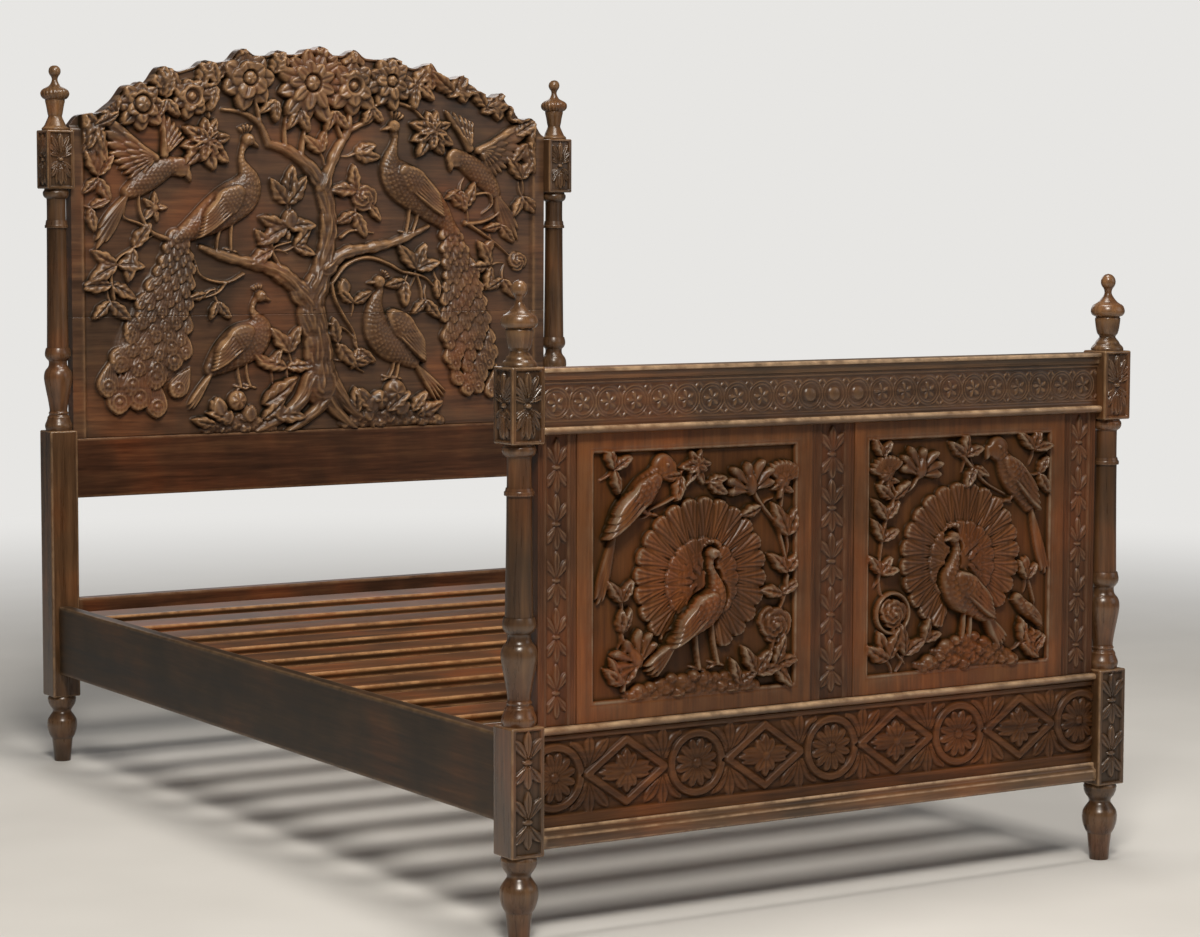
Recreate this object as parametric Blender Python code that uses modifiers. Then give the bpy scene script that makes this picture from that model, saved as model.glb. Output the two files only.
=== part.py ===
"""Carved bed with turned posts, modelled as its separate timbers and irons.

Frame: X runs across the bed, Y along it with the head at +Y, and Z up. The origin is on the
floor under the middle of the bed. All sizes are in metres.
"""

import math

import bmesh
import bpy
import numpy as np
from mathutils import Matrix

for old_object in list(bpy.data.objects):
    bpy.data.objects.remove(old_object, do_unlink=True)

bed = bpy.data.collections.new("carved_bed")
cutters = bpy.data.collections.new("carved_bed_cutters")
bpy.context.scene.collection.children.link(bed)
bpy.context.scene.collection.children.link(cutters)

# The mattress that the bed takes, and the room round it
mattress_length = 1.980
mattress_width = 1.220
side_room = 0.033
end_room = 0.0025

# Clearance between neighbouring pieces
fit = 0.0003

# Posts: one timber each, with a turned foot, a lower block, a turned column and an upper block
post_size = 0.065
foot_height = 0.150
upper_block_height = 0.131
head_lower_block_height = 0.605
head_column_height = 0.545
foot_lower_block_height = 0.225
foot_column_height = 0.483
block_chamfer = 0.003
core_radius = 0.018
turning_steps = 12

# Finials: a turned knob with a dowel in the top of each post
dowel_radius = 0.009
dowel_length = 0.030

# Carved sunk panels on the post blocks
block_border = 0.009
block_sink = 0.004

# Layers of carving: how deep they are let in, and how far their ground lies over the cut below
layer_depth = 0.011
layer_lap = 0.001
layer_lift = 0.0004

# Facets kept in each carved layer
leaf_block_facets = 56
husk_block_facets = 76
lower_board_facets = 560
upper_board_facets = 1250
guilloche_facets = 520
band_facets = 640
panel_facets = 580
stile_facets = 220

# How far a cut runs past the face it starts from, how far joined shapes run into each other,
# and how far a cutter that clears a whole face stands off it
cut_past = 0.001
join_lap = 0.010
cut_clear = 0.050

# Side rails, ledgers and slats
rail_thickness = 0.030
rail_setback = 0.0145
rail_bottom = 0.203
rail_height = 0.154
rail_rounding = 0.003
slat_count = 10
slat_width = 0.100
slat_thickness = 0.020
slat_rounding = 0.004
slat_below_rail_top = 0.008
slat_end_room = 0.003
ledger_width = 0.024
ledger_height = 0.026

# Bed irons: a hook plate in each rail end and a slotted plate in each post
iron_width = 0.018
iron_height = 0.110
iron_thickness = 0.003
hook_width = 0.005
hook_height = 0.024
hook_drop = 0.012
hook_spacing = 0.055
hook_room = 0.002

# Joinery of the fixed rails
tenon_length = 0.024
tenon_thickness = 0.012
tenon_shoulder = 0.014
tongue_depth = 0.008
tongue_thickness = 0.008

# Head end
head_rail_bottom = 0.215
head_rail_height = 0.158
head_rail_thickness = 0.032
head_rail_setback = 0.003
board_rail_height = 0.135
board_rail_below_block_top = 0.020
board_rail_thickness = 0.040
board_thickness = 0.030
board_setback = 0.026
lower_board_height = 0.275
board_margin = 0.030
ground_depth = 0.008
arch_rise = 0.205
arch_lobes = 9
arch_lobe_height = 0.014
arch_overhang = 0.004
headboard_relief = 0.017

# Foot end
footboard_setback = 0.020
footboard_rail_thickness = 0.036
top_rail_above_block_bottom = 0.014
top_rail_height = 0.093
bottom_rail_above_foot = 0.010
bottom_rail_below_block_top = 0.007
stile_width = 0.077
muntin_width = 0.095
stile_setback = 0.002
stile_thickness = 0.028
reed_width = 0.012
reed_height = 0.003
husk_height = 0.0045
panel_setback = 0.004
panel_thickness = 0.026
panel_margin = 0.0375
panel_sink = 0.010
panel_relief = 0.012
cap_height = 0.020
cap_overhang = 0.010
bead_radius = 0.0065
ledge_height = 0.013
ledge_depth = 0.009
ledge_overhang = 0.009
base_moulding_height = 0.035
base_moulding_depth = 0.014
base_moulding_lip = 0.004
base_moulding_ease = 0.003
edge_ease = 0.001

# Places that follow from the sizes above
rail_inner_x = mattress_width / 2 + side_room
post_x = rail_inner_x + rail_thickness + rail_setback - post_size / 2
post_y = mattress_length / 2 + end_room + post_size / 2
post_inner_x = post_x - post_size / 2
post_inner_y = post_y - post_size / 2
rail_top = rail_bottom + rail_height
rail_half_length = post_inner_y - fit
slat_top = rail_top - slat_below_rail_top
slat_bottom = slat_top - slat_thickness
head_lower_block_top = foot_height + head_lower_block_height
head_upper_block_bottom = head_lower_block_top + head_column_height
head_post_top = head_upper_block_bottom + upper_block_height
foot_lower_block_top = foot_height + foot_lower_block_height
foot_upper_block_bottom = foot_lower_block_top + foot_column_height
foot_post_top = foot_upper_block_bottom + upper_block_height
board_rail_top = head_lower_block_top - board_rail_below_block_top
board_rail_bottom = board_rail_top - board_rail_height
board_front = post_inner_y + board_setback
board_back = board_front + board_thickness
ground_front = board_front + ground_depth
board_middle = (ground_front + board_back) / 2
seam_height = board_rail_top + lower_board_height
shoulder_height = head_post_top
field_half_width = post_inner_x - fit - board_margin
footboard_front = -(post_y + post_size / 2) + footboard_setback
footboard_back = footboard_front + footboard_rail_thickness
footboard_middle = (footboard_front + footboard_back) / 2
top_rail_bottom = foot_upper_block_bottom + top_rail_above_block_bottom
top_rail_top = top_rail_bottom + top_rail_height
bottom_rail_bottom = foot_height + bottom_rail_above_foot
bottom_rail_top = foot_lower_block_top - bottom_rail_below_block_top
panel_front = footboard_front + panel_setback
panel_ground = panel_front + panel_sink
panel_back = panel_front + panel_thickness
panel_middle = (panel_ground + panel_back) / 2
opening_bottom = bottom_rail_top + fit
opening_top = top_rail_bottom - fit
panel_inner_x = muntin_width / 2 + fit
panel_outer_x = post_inner_x - fit - stile_width - fit

# Colours of the timbers, in linear light
walnut = (0.085, 0.038, 0.018)
carved_walnut = (0.105, 0.052, 0.026)
red_walnut = (0.120, 0.040, 0.018)
slat_wood = (0.240, 0.095, 0.035)
rail_wood = (0.062, 0.040, 0.022)
iron_grey = (0.120, 0.115, 0.110)


def give_material(piece, colour, roughness, metallic=0.0):
    """Give a piece a material of its own."""
    material = bpy.data.materials.new(piece.name + "_finish")
    material.use_nodes = True
    shader = material.node_tree.nodes["Principled BSDF"]
    shader.inputs["Base Color"].default_value = (*colour, 1.0)
    shader.inputs["Roughness"].default_value = roughness
    shader.inputs["Metallic"].default_value = metallic
    piece.data.materials.append(material)


def new_object(name, mesh, collection):
    """Put a mesh in a collection; cutters show as wires and don't render."""
    thing = bpy.data.objects.new(name, mesh)
    collection.objects.link(thing)
    if collection == cutters:
        thing.hide_render = True
        thing.display_type = "WIRE"
    return thing


def mesh_from(bm, name):
    """Finish a bmesh as a mesh with its faces turned outward."""
    bmesh.ops.recalc_face_normals(bm, faces=bm.faces)
    mesh = bpy.data.meshes.new(name)
    bm.to_mesh(mesh)
    bm.free()
    return mesh


def box(name, low, high, collection=None, rounding=0.0, rounded_edges=None, segments=2):
    """A box between two corners, with some or all of its edges rounded."""
    size = [b - a for a, b in zip(low, high)]
    centre = [(a + b) / 2 for a, b in zip(low, high)]
    bm = bmesh.new()
    bmesh.ops.create_cube(bm, size=1.0, matrix=Matrix.Diagonal((*size, 1.0)))
    if rounding > 0:
        edges = [e for e in bm.edges if rounded_edges is None or rounded_edges(e)]
        bmesh.ops.bevel(bm, geom=edges, offset=rounding, segments=segments, profile=0.5, affect="EDGES")
    thing = new_object(name, mesh_from(bm, name), collection or cutters)
    thing.location = centre
    return thing


def along(axis, upper_only=False):
    """An edge test: edges that run along one axis, and only the upper ones if asked."""
    def test(edge):
        first, second = edge.verts[0].co, edge.verts[1].co
        runs = abs((first - second)[axis]) > 1e-6
        return runs and (not upper_only or first.z > 0)
    return test


def turned(name, profile, collection, steps=turning_steps):
    """A turned shape: a profile of radius and height, from its top down, swept round Z."""
    bm = bmesh.new()
    spots = [bm.verts.new((radius, 0.0, height)) for radius, height in profile]
    for upper, lower in zip(spots, spots[1:]):
        bm.edges.new((upper, lower))
    mesh = bpy.data.meshes.new(name)
    bm.to_mesh(mesh)
    bm.free()
    thing = new_object(name, mesh, collection)
    screw = thing.modifiers.new("turning", "SCREW")
    screw.axis = "Z"
    screw.steps = steps
    screw.render_steps = steps
    screw.use_merge_vertices = True
    screw.merge_threshold = 0.0001
    screw.use_smooth_shade = True
    return thing


def boolean(piece, other, operation):
    """Join or cut a piece with another object."""
    modifier = piece.modifiers.new(operation.lower() + "_" + other.name, "BOOLEAN")
    modifier.operation = operation
    modifier.object = other
    modifier.solver = "EXACT"


def join(piece, other):
    boolean(piece, other, "UNION")


def cut(piece, other):
    boolean(piece, other, "DIFFERENCE")


def curve_mesh(curve):
    """The closed mesh of a curve, for use in a Boolean."""
    holder = bpy.data.objects.new("curve_holder", curve)
    cutters.objects.link(holder)
    depsgraph = bpy.context.evaluated_depsgraph_get()
    mesh = bpy.data.meshes.new_from_object(holder.evaluated_get(depsgraph))
    bpy.data.objects.remove(holder, do_unlink=True)
    bpy.data.curves.remove(curve)
    bm = bmesh.new()
    bm.from_mesh(mesh)
    bmesh.ops.remove_doubles(bm, verts=bm.verts, dist=1e-6)
    bmesh.ops.recalc_face_normals(bm, faces=bm.faces)
    bm.to_mesh(mesh)
    bm.free()
    return mesh


def plate_mesh(outline, thickness):
    """A flat outline in local X and Y, as thick as asked, centred on local Z."""
    curve = bpy.data.curves.new("plate_outline", "CURVE")
    curve.dimensions = "2D"
    curve.fill_mode = "BOTH"
    curve.extrude = thickness / 2
    spline = curve.splines.new("POLY")
    spline.points.add(len(outline) - 1)
    spline.use_cyclic_u = True
    for point, (x, y) in zip(spline.points, outline):
        point.co = (x, y, 0.0, 1.0)
    return curve_mesh(curve)


def moulding(name, section, start_x, end_x, collection):
    """A moulding that runs along X, from a section drawn in Y and Z."""
    piece = new_object(name, plate_mesh(section, end_x - start_x), collection)
    piece.rotation_euler = (math.pi / 2, 0.0, math.pi / 2)
    piece.location = ((start_x + end_x) / 2, 0.0, 0.0)
    return piece


# Carving: heights over the places of a face, worked by tools that leave ridges, leaves and flowers


class Sheet:
    """A carved face: heights over a grid of places across (x) and up (y) it."""

    def __init__(self, left, right, bottom, top_at, cell):
        columns = max(4, round((right - left) / cell))
        across = np.linspace(left, right, columns + 1)
        tops = np.array([top_at(x) for x in across])
        rows = max(4, round((tops.max() - bottom) / cell))
        share = np.linspace(0.0, 1.0, rows + 1)[:, None]
        self.x = np.tile(across, (rows + 1, 1))
        self.y = bottom + share * (tops - bottom)
        self.height = np.zeros_like(self.x)

    def raise_to(self, height):
        self.height = np.maximum(self.height, height)


def round_over(share):
    """The height of a rounded mass, from 1 in its middle to 0 at its edge."""
    return np.sqrt(np.clip(1.0 - share ** 2, 0.0, None))


def ridge(sheet, points, widths, height):
    """A branch, neck or tail: a rounded ridge that swells and tapers along points."""
    widest = max(widths)
    stretches = zip(points, points[1:], widths, widths[1:])
    for (x0, y0), (x1, y1), first, second in stretches:
        run_x, run_y = x1 - x0, y1 - y0
        share = ((sheet.x - x0) * run_x + (sheet.y - y0) * run_y) / (run_x ** 2 + run_y ** 2)
        share = np.clip(share, 0.0, 1.0)
        away = np.hypot(sheet.x - x0 - share * run_x, sheet.y - y0 - share * run_y)
        half_width = (first + share * (second - first)) / 2
        sheet.raise_to(height * np.sqrt(2 * half_width / widest) * round_over(away / half_width))


def leaf(sheet, x, y, length, width, height, angle):
    """A pointed leaf that grows from a point along an angle."""
    along_leaf = ((sheet.x - x) * math.cos(angle) + (sheet.y - y) * math.sin(angle)) / length
    across_leaf = (sheet.y - y) * math.cos(angle) - (sheet.x - x) * math.sin(angle)
    inside = np.clip(along_leaf, 0.0, 1.0)
    half_width = width / 2 * np.sin(math.pi * inside ** 0.8) + 1e-9
    sheet.raise_to(height * round_over(across_leaf / half_width) * (along_leaf > 0) * (along_leaf < 1))


def spray(sheet, x, y, count, length, width, height, first=0.0, spread=2 * math.pi):
    """Leaves fanned out round a point."""
    for index in range(count):
        leaf(sheet, x, y, length, width, height, first + spread * index / count)


def flower(sheet, x, y, radius, height, petals):
    """A round flower: petals with grooves between them, round a raised eye."""
    away = np.hypot(sheet.x - x, sheet.y - y) / radius
    turn = np.arctan2(sheet.y - y, sheet.x - x)
    lobes = np.abs(np.cos(petals * turn / 2))
    rim = 0.80 + 0.20 * lobes
    sheet.raise_to(height * (0.55 + 0.35 * lobes) * np.clip(4 * (rim - away), 0.0, 1.0))
    sheet.raise_to(height * round_over(away / 0.30))


def ring(sheet, x, y, radius, half_width, height):
    """A round band."""
    away = np.abs(np.hypot(sheet.x - x, sheet.y - y) - radius)
    sheet.raise_to(height * round_over(away / half_width))


def husk(sheet, x, y, length, width, height):
    """A hanging bellflower husk: two splayed leaves and a middle one under a round tie."""
    for lean, share in ((-0.32, 0.36), (0.32, 0.36), (0.0, 0.26)):
        leaf(sheet, x, y, length, width * share, height, -math.pi / 2 + lean)
    ridge(sheet, [(x - width * 0.2, y), (x + width * 0.2, y)], [width * 0.2, width * 0.2], height)


def crossed_leaves(sheet, half_height, half_width, height):
    """The leaf spray on a post block: leaves up and down from a tied middle."""
    for upright in (math.pi / 2, -math.pi / 2):
        for lean in (-0.40, 0.0, 0.40):
            leaf(sheet, 0.0, 0.0, half_height, half_width * 0.45, height, upright + lean)
    for side in (0.0, math.pi):
        leaf(sheet, 0.0, 0.0, half_width * 0.85, half_width * 0.4, height, side)
    tie = half_width * 0.2
    ridge(sheet, [(-tie, 0.0), (tie, 0.0)], [2 * tie, 2 * tie], height * 1.2)


facing = {"-Y": 0.0, "-X": -math.pi / 2, "+X": math.pi / 2}


def carve(piece, name, sheet, where, direction, depth, triangles):
    """Make a carved sheet a closed layer, thin out its flat facets and join it to a piece."""
    rows, columns = sheet.height.shape
    index = np.arange(rows * columns).reshape(rows, columns)
    corners = [index[:-1, :-1], index[:-1, 1:], index[1:, 1:], index[1:, :-1]]
    carved = np.stack(corners, axis=-1).reshape(-1, 4)
    rim = np.concatenate([index[0, :-1], index[:-1, -1], index[-1, :0:-1], index[:0:-1, 0]])
    below = index.size + np.arange(rim.size)
    walls = np.stack([rim, below, np.roll(below, -1), np.roll(rim, -1)], axis=-1)
    places = np.stack([sheet.x.ravel(), sheet.y.ravel(), sheet.height.ravel()], axis=-1)
    lower = places[rim].copy()
    lower[:, 2] = -depth
    mesh = bpy.data.meshes.new(name)
    mesh.from_pydata(np.vstack([places, lower]).tolist(), [],
                     carved.tolist() + walls.tolist() + [below[::-1].tolist()])
    layer = new_object(name, mesh, cutters)
    layer.rotation_euler = (math.pi / 2, 0.0, facing[direction])
    layer.location = where
    thin = layer.modifiers.new("thin_out_flats", "DECIMATE")
    thin.ratio = min(1.0, triangles / (2 * len(carved) + 2 * len(walls) + len(rim) - 2))
    join(piece, layer)


# Turned profiles, as radius and height in millimetres up from the bottom of each part

MM = 0.001
foot_profile_height = 150.0

foot_profile = [(18.5, 0.0), (23.5, 51.0), (27.0, 56.0), (33.5, 74.0), (32.5, 92.0), (20.8, 113.0),
                (28.0, 127.0), (31.5, 138.0), (31.0, 146.0)]

vase_profile = [(29.5, 3.0), (30.5, 13.0), (21.5, 34.0), (22.5, 40.0), (20.5, 46.0), (27.0, 92.0),
                (31.7, 121.0), (27.5, 139.0), (20.5, 149.0), (21.0, 160.0), (28.5, 168.0), (28.5, 182.0),
                (24.5, 191.0)]

capital_profile = [(21.8, -90.0), (26.0, -87.0), (26.0, -81.0), (21.6, -78.0), (21.2, -24.0),
                   (29.5, -12.0), (29.0, -3.0)]

head_finial_profile = [(29.5, 0.0), (30.3, 5.0), (24.5, 10.0), (15.5, 30.0), (19.5, 53.0), (22.0, 66.0),
                       (29.0, 71.0), (32.5, 81.0), (26.5, 91.0), (12.0, 99.0), (6.8, 112.0),
                       (13.2, 125.0), (13.2, 136.0), (0.0, 145.0)]

foot_finial_profile = [(30.6, 0.0), (30.6, 5.0), (25.0, 12.0), (15.5, 26.0), (19.7, 33.0), (24.0, 60.0),
                       (23.0, 64.0), (29.5, 68.0), (32.3, 76.0), (29.5, 85.0), (18.5, 92.0), (11.0, 102.0),
                       (6.9, 111.0), (13.9, 125.0), (13.9, 137.0), (0.0, 146.5)]


def post_profile(lower_block_top, upper_block_bottom):
    """The whole turning of a post, with a plain core inside its blocks, from the top down."""
    rising = [(0.0, 0.0)]
    rising += [(radius * MM, height / foot_profile_height * foot_height) for radius, height in foot_profile]
    rising += [(core_radius, foot_height + block_chamfer), (core_radius, lower_block_top - block_chamfer)]
    rising += [(radius * MM, lower_block_top + height * MM) for radius, height in vase_profile]
    rising += [(radius * MM, upper_block_bottom + height * MM) for radius, height in capital_profile]
    rising += [(core_radius, upper_block_bottom + block_chamfer)]
    rising += [(core_radius, upper_block_bottom + upper_block_height / 2)]
    rising += [(0.0, upper_block_bottom + upper_block_height / 2)]
    return rising[::-1]


# Posts and finials

post_sides = {"left": -1, "right": 1}
rail_centre_x = rail_inner_x + rail_thickness / 2
iron_centre_z = rail_bottom + rail_height / 2
hook_reach = iron_thickness + hook_width
pocket_depth = hook_reach + hook_room


def carve_block(post, name, x_side, y_side, bottom, top, draw, triangles):
    """Sink a bordered panel in the front and the outer face of a block and carve it."""
    middle = (bottom + top) / 2
    half_width = post_size / 2 - block_border
    half_height = (top - bottom) / 2 - block_border
    centre_x, centre_y = x_side * post_x, y_side * post_y
    face = post_size / 2
    sheet = Sheet(-half_width - layer_lap, half_width + layer_lap, -half_height - layer_lap,
                  lambda x: half_height + layer_lap, cell=0.0015)
    draw(sheet, half_width, half_height)
    outward = "-X" if x_side < 0 else "+X"
    front = (centre_x, centre_y - face, middle)
    side = (centre_x + x_side * face, centre_y, middle)
    floor_front = (centre_x, centre_y - face + block_sink - layer_lift, middle)
    floor_side = (centre_x + x_side * (face - block_sink + layer_lift), centre_y, middle)
    faces = (("-Y", front, (half_width, block_sink, half_height), floor_front),
             (outward, side, (block_sink, half_width, half_height), floor_side))
    for direction, spot, half, floor in faces:
        low = [a - b for a, b in zip(spot, half)]
        high = [a + b for a, b in zip(spot, half)]
        cut(post, box(f"{name}_sunk_{direction}", low, high))
        carve(post, f"{name}_carving_{direction}", sheet, floor, direction, layer_depth, triangles)


def draw_crossed_leaves(sheet, half_width, half_height):
    crossed_leaves(sheet, half_height * 0.95, half_width, block_sink)


def draw_husk_drop(sheet, half_width, half_height):
    """Husks hung one under the other down a lower block."""
    drop = half_height / 2
    for row in range(4):
        husk(sheet, 0.0, half_height * 0.94 - row * drop, drop * 0.98, half_width * 2.2, block_sink)


def tenon_cut(post, name, x_side, y_middle, z_low, z_high, thickness, depth):
    """A mortise in the inner face of a post, one clearance larger than its tenon."""
    inner = x_side * post_inner_x
    deep = x_side * (post_inner_x + depth + fit)
    mouth = inner - x_side * cut_past
    low = (min(mouth, deep), y_middle - thickness / 2 - fit, z_low - fit)
    high = (max(mouth, deep), y_middle + thickness / 2 + fit, z_high + fit)
    cut(post, box(name, low, high))


def iron_cut(post, name, x_side, y_side):
    """The recess for the slotted plate and the pockets behind its slots."""
    centre = x_side * rail_centre_x
    face = y_side * post_inner_y
    half_width = iron_width / 2 + fit
    half_height = iron_height / 2 + fit
    ends = sorted((face - y_side * cut_past, face + y_side * (iron_thickness + fit)))
    cut(post, box(name + "_recess", (centre - half_width, ends[0], iron_centre_z - half_height),
                  (centre + half_width, ends[1], iron_centre_z + half_height)))
    for level in (-1, 1):
        middle = iron_centre_z + level * hook_spacing / 2
        ends = sorted((face, face + y_side * pocket_depth))
        half = hook_width / 2 + hook_room
        cut(post, box(f"{name}_pocket_{level + 1}",
                      (centre - half, ends[0], middle - hook_height / 2 - hook_drop - hook_room),
                      (centre + half, ends[1], middle + hook_height / 2 + hook_room)))


def make_post(name, x_side, y_side, lower_block_top, upper_block_bottom):
    """One post: a full-length turning with two square blocks on it."""
    post = turned(name, post_profile(lower_block_top, upper_block_bottom), bed)
    post.location = (x_side * post_x, y_side * post_y, 0.0)
    half = post_size / 2
    centre_x, centre_y = x_side * post_x, y_side * post_y
    top = upper_block_bottom + upper_block_height
    for label, low, high in (("lower", foot_height, lower_block_top), ("upper", upper_block_bottom, top)):
        join(post, box(f"{name}_{label}_block", (centre_x - half, centre_y - half, low),
                       (centre_x + half, centre_y + half, high), rounding=block_chamfer, segments=1))
    hole_radius = dowel_radius + fit
    hole_bottom = top - dowel_length - fit
    hole = turned(f"{name}_dowel_hole", [(0.0, top + cut_clear), (hole_radius, top + cut_clear),
                                         (hole_radius, hole_bottom), (0.0, hole_bottom)], cutters)
    hole.location = (centre_x, centre_y, 0.0)
    cut(post, hole)
    carve_block(post, f"{name}_upper", x_side, y_side, upper_block_bottom, top, draw_crossed_leaves,
                leaf_block_facets)
    iron_cut(post, f"{name}_iron", x_side, y_side)
    give_material(post, walnut, 0.42)
    return post


def make_finial(name, x_side, y_side, top, profile):
    """A turned knob that stands on a post top with its dowel in the post."""
    rising = [(0.0, -dowel_length), (dowel_radius, -dowel_length), (dowel_radius, fit)]
    rising += [(radius * MM, height * MM + fit) for radius, height in profile]
    finial = turned(name, rising[::-1], bed)
    finial.location = (x_side * post_x, y_side * post_y, top)
    give_material(finial, carved_walnut, 0.35)
    return finial


# Rails with tenons


def tenoned_rail(name, low, high, collection, rounding=rail_rounding):
    """A rail between two posts, with a tenon at each end; low and high bound its body."""
    rail = box(name, low, high, collection, rounding=rounding, rounded_edges=along(0), segments=2)
    y_middle = (low[1] + high[1]) / 2
    for label, side in post_sides.items():
        ends = sorted((side * (post_inner_x - join_lap), side * (post_inner_x + tenon_length)))
        join(rail, box(f"{name}_tenon_{label}",
                       (ends[0], y_middle - tenon_thickness / 2, low[2] + tenon_shoulder),
                       (ends[1], y_middle + tenon_thickness / 2, high[2] - tenon_shoulder)))
    return rail


def rail_mortise(post, name, x_side, rail_low, rail_high):
    """The mortise for a tenoned rail."""
    tenon_cut(post, name, x_side, (rail_low[1] + rail_high[1]) / 2, rail_low[2] + tenon_shoulder,
              rail_high[2] - tenon_shoulder, tenon_thickness, tenon_length)


def rail_ends(y_low, y_high, z_low, z_high):
    """The corners of a rail that fills the width between the posts."""
    half = post_inner_x - fit
    return (-half, y_low, z_low), (half, y_high, z_high)


head_rail_front = post_inner_y + head_rail_setback
head_rail_box = rail_ends(head_rail_front, head_rail_front + head_rail_thickness, head_rail_bottom,
                          head_rail_bottom + head_rail_height)
board_rail_front = board_middle - board_rail_thickness / 2
board_rail_box = rail_ends(board_rail_front, board_rail_front + board_rail_thickness, board_rail_bottom,
                           board_rail_top)
top_rail_box = rail_ends(footboard_front, footboard_back, top_rail_bottom, top_rail_top)
bottom_rail_box = rail_ends(footboard_front, footboard_back, bottom_rail_bottom, bottom_rail_top)
board_tongue_low = head_post_top - upper_block_height + tenon_shoulder
board_tongue_high = head_post_top - tenon_shoulder

for label, x_side in post_sides.items():
    head_post = make_post(f"head_post_{label}", x_side, 1, head_lower_block_top, head_upper_block_bottom)
    rail_mortise(head_post, f"head_rail_mortise_{label}", x_side, *head_rail_box)
    rail_mortise(head_post, f"board_rail_mortise_{label}", x_side, *board_rail_box)
    tenon_cut(head_post, f"board_tongue_mortise_{label}", x_side, board_middle, board_tongue_low,
              board_tongue_high, tongue_thickness, tongue_depth)
    make_finial(f"head_finial_{label}", x_side, 1, head_post_top, head_finial_profile)

    foot_post = make_post(f"foot_post_{label}", x_side, -1, foot_lower_block_top, foot_upper_block_bottom)
    carve_block(foot_post, f"foot_post_{label}_lower", x_side, -1, foot_height, foot_lower_block_top,
                draw_husk_drop, husk_block_facets)
    rail_mortise(foot_post, f"top_rail_mortise_{label}", x_side, *top_rail_box)
    rail_mortise(foot_post, f"bottom_rail_mortise_{label}", x_side, *bottom_rail_box)
    make_finial(f"foot_finial_{label}", x_side, -1, foot_post_top, foot_finial_profile)


# Side rails, bed irons, ledgers and slats


def make_side_rail(label, x_side):
    """A plain side rail with a recess in each end for its hook plate."""
    across = sorted((x_side * rail_inner_x, x_side * (rail_inner_x + rail_thickness)))
    rail = box(f"side_rail_{label}", (across[0], -rail_half_length, rail_bottom),
               (across[1], rail_half_length, rail_top), bed, rounding=rail_rounding, rounded_edges=along(1))
    for end_label, y_side in (("head", 1), ("foot", -1)):
        ends = sorted((y_side * (rail_half_length - iron_thickness - fit),
                       y_side * (rail_half_length + cut_past)))
        centre = x_side * rail_centre_x
        cut(rail, box(f"side_rail_{label}_{end_label}_recess",
                      (centre - iron_width / 2 - fit, ends[0], iron_centre_z - iron_height / 2 - fit),
                      (centre + iron_width / 2 + fit, ends[1], iron_centre_z + iron_height / 2 + fit)))
    give_material(rail, rail_wood, 0.55)


def make_hook_plate(end_label, label, x_side, y_side):
    """The iron in a rail end: a plate with two hooks that drop behind the slotted plate."""
    centre = x_side * rail_centre_x
    back, face = y_side * (rail_half_length - iron_thickness), y_side * rail_half_length
    ends = sorted((back, face))
    plate = box(f"hook_plate_{end_label}_{label}",
                (centre - iron_width / 2, ends[0], iron_centre_z - iron_height / 2),
                (centre + iron_width / 2, ends[1], iron_centre_z + iron_height / 2), bed)
    root = (back + face) / 2
    throat = y_side * (post_inner_y + iron_thickness + fit)
    tip = y_side * (post_inner_y + hook_reach)
    for level in (-1, 1):
        middle = iron_centre_z + level * hook_spacing / 2
        low, high = middle - hook_height / 2, middle + hook_height / 2
        hook = [(root, low), (throat, low), (throat, low - hook_drop), (tip, low - hook_drop), (tip, high),
                (root, high)]
        join(plate, moulding(f"hook_{end_label}_{label}_{level + 1}", hook, centre - hook_width / 2,
                             centre + hook_width / 2, cutters))
    give_material(plate, iron_grey, 0.5, 1.0)


def make_slot_plate(end_label, label, x_side, y_side):
    """The iron let into a post: a plate with two upright slots."""
    centre = x_side * rail_centre_x
    ends = sorted((y_side * post_inner_y, y_side * (post_inner_y + iron_thickness)))
    plate = box(f"slot_plate_{end_label}_{label}",
                (centre - iron_width / 2, ends[0], iron_centre_z - iron_height / 2),
                (centre + iron_width / 2, ends[1], iron_centre_z + iron_height / 2), bed)
    for level in (-1, 1):
        middle = iron_centre_z + level * hook_spacing / 2
        cut(plate, box(f"slot_{end_label}_{label}_{level + 1}",
                       (centre - hook_width / 2 - fit, ends[0] - cut_past, middle - hook_height / 2 - fit),
                       (centre + hook_width / 2 + fit, ends[1] + cut_past,
                        middle + hook_height / 2 + hook_room)))
    give_material(plate, iron_grey, 0.5, 1.0)


def make_ledger(label, x_side):
    """The strip on the inside of a side rail that carries the slat ends."""
    across = sorted((x_side * (rail_inner_x - fit), x_side * (rail_inner_x - fit - ledger_width)))
    top = slat_bottom - fit
    length = rail_half_length - ledger_width
    ledger = box(f"slat_ledger_{label}", (across[0], -length, top - ledger_height),
                 (across[1], length, top), bed)
    give_material(ledger, rail_wood, 0.6)


for label, x_side in post_sides.items():
    make_side_rail(label, x_side)
    make_ledger(label, x_side)
    for end_label, y_side in (("head", 1), ("foot", -1)):
        make_hook_plate(end_label, label, x_side, y_side)
        make_slot_plate(end_label, label, x_side, y_side)

slat_span = mattress_length + 2 * end_room
slat_pitch = slat_span / slat_count
for index in range(slat_count):
    slat_y = slat_span / 2 - slat_pitch * (index + 0.5)
    half_length = rail_inner_x - slat_end_room
    slat = box(f"slat_{index + 1:02d}", (-half_length, slat_y - slat_width / 2, slat_bottom),
               (half_length, slat_y + slat_width / 2, slat_top), bed, rounding=slat_rounding,
               rounded_edges=along(0, upper_only=True))
    give_material(slat, slat_wood, 0.38)


# Head end: slat-level rail, board rail and the two carved boards

head_rail = tenoned_rail("head_rail", *head_rail_box, bed)
give_material(head_rail, red_walnut, 0.5)

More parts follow.
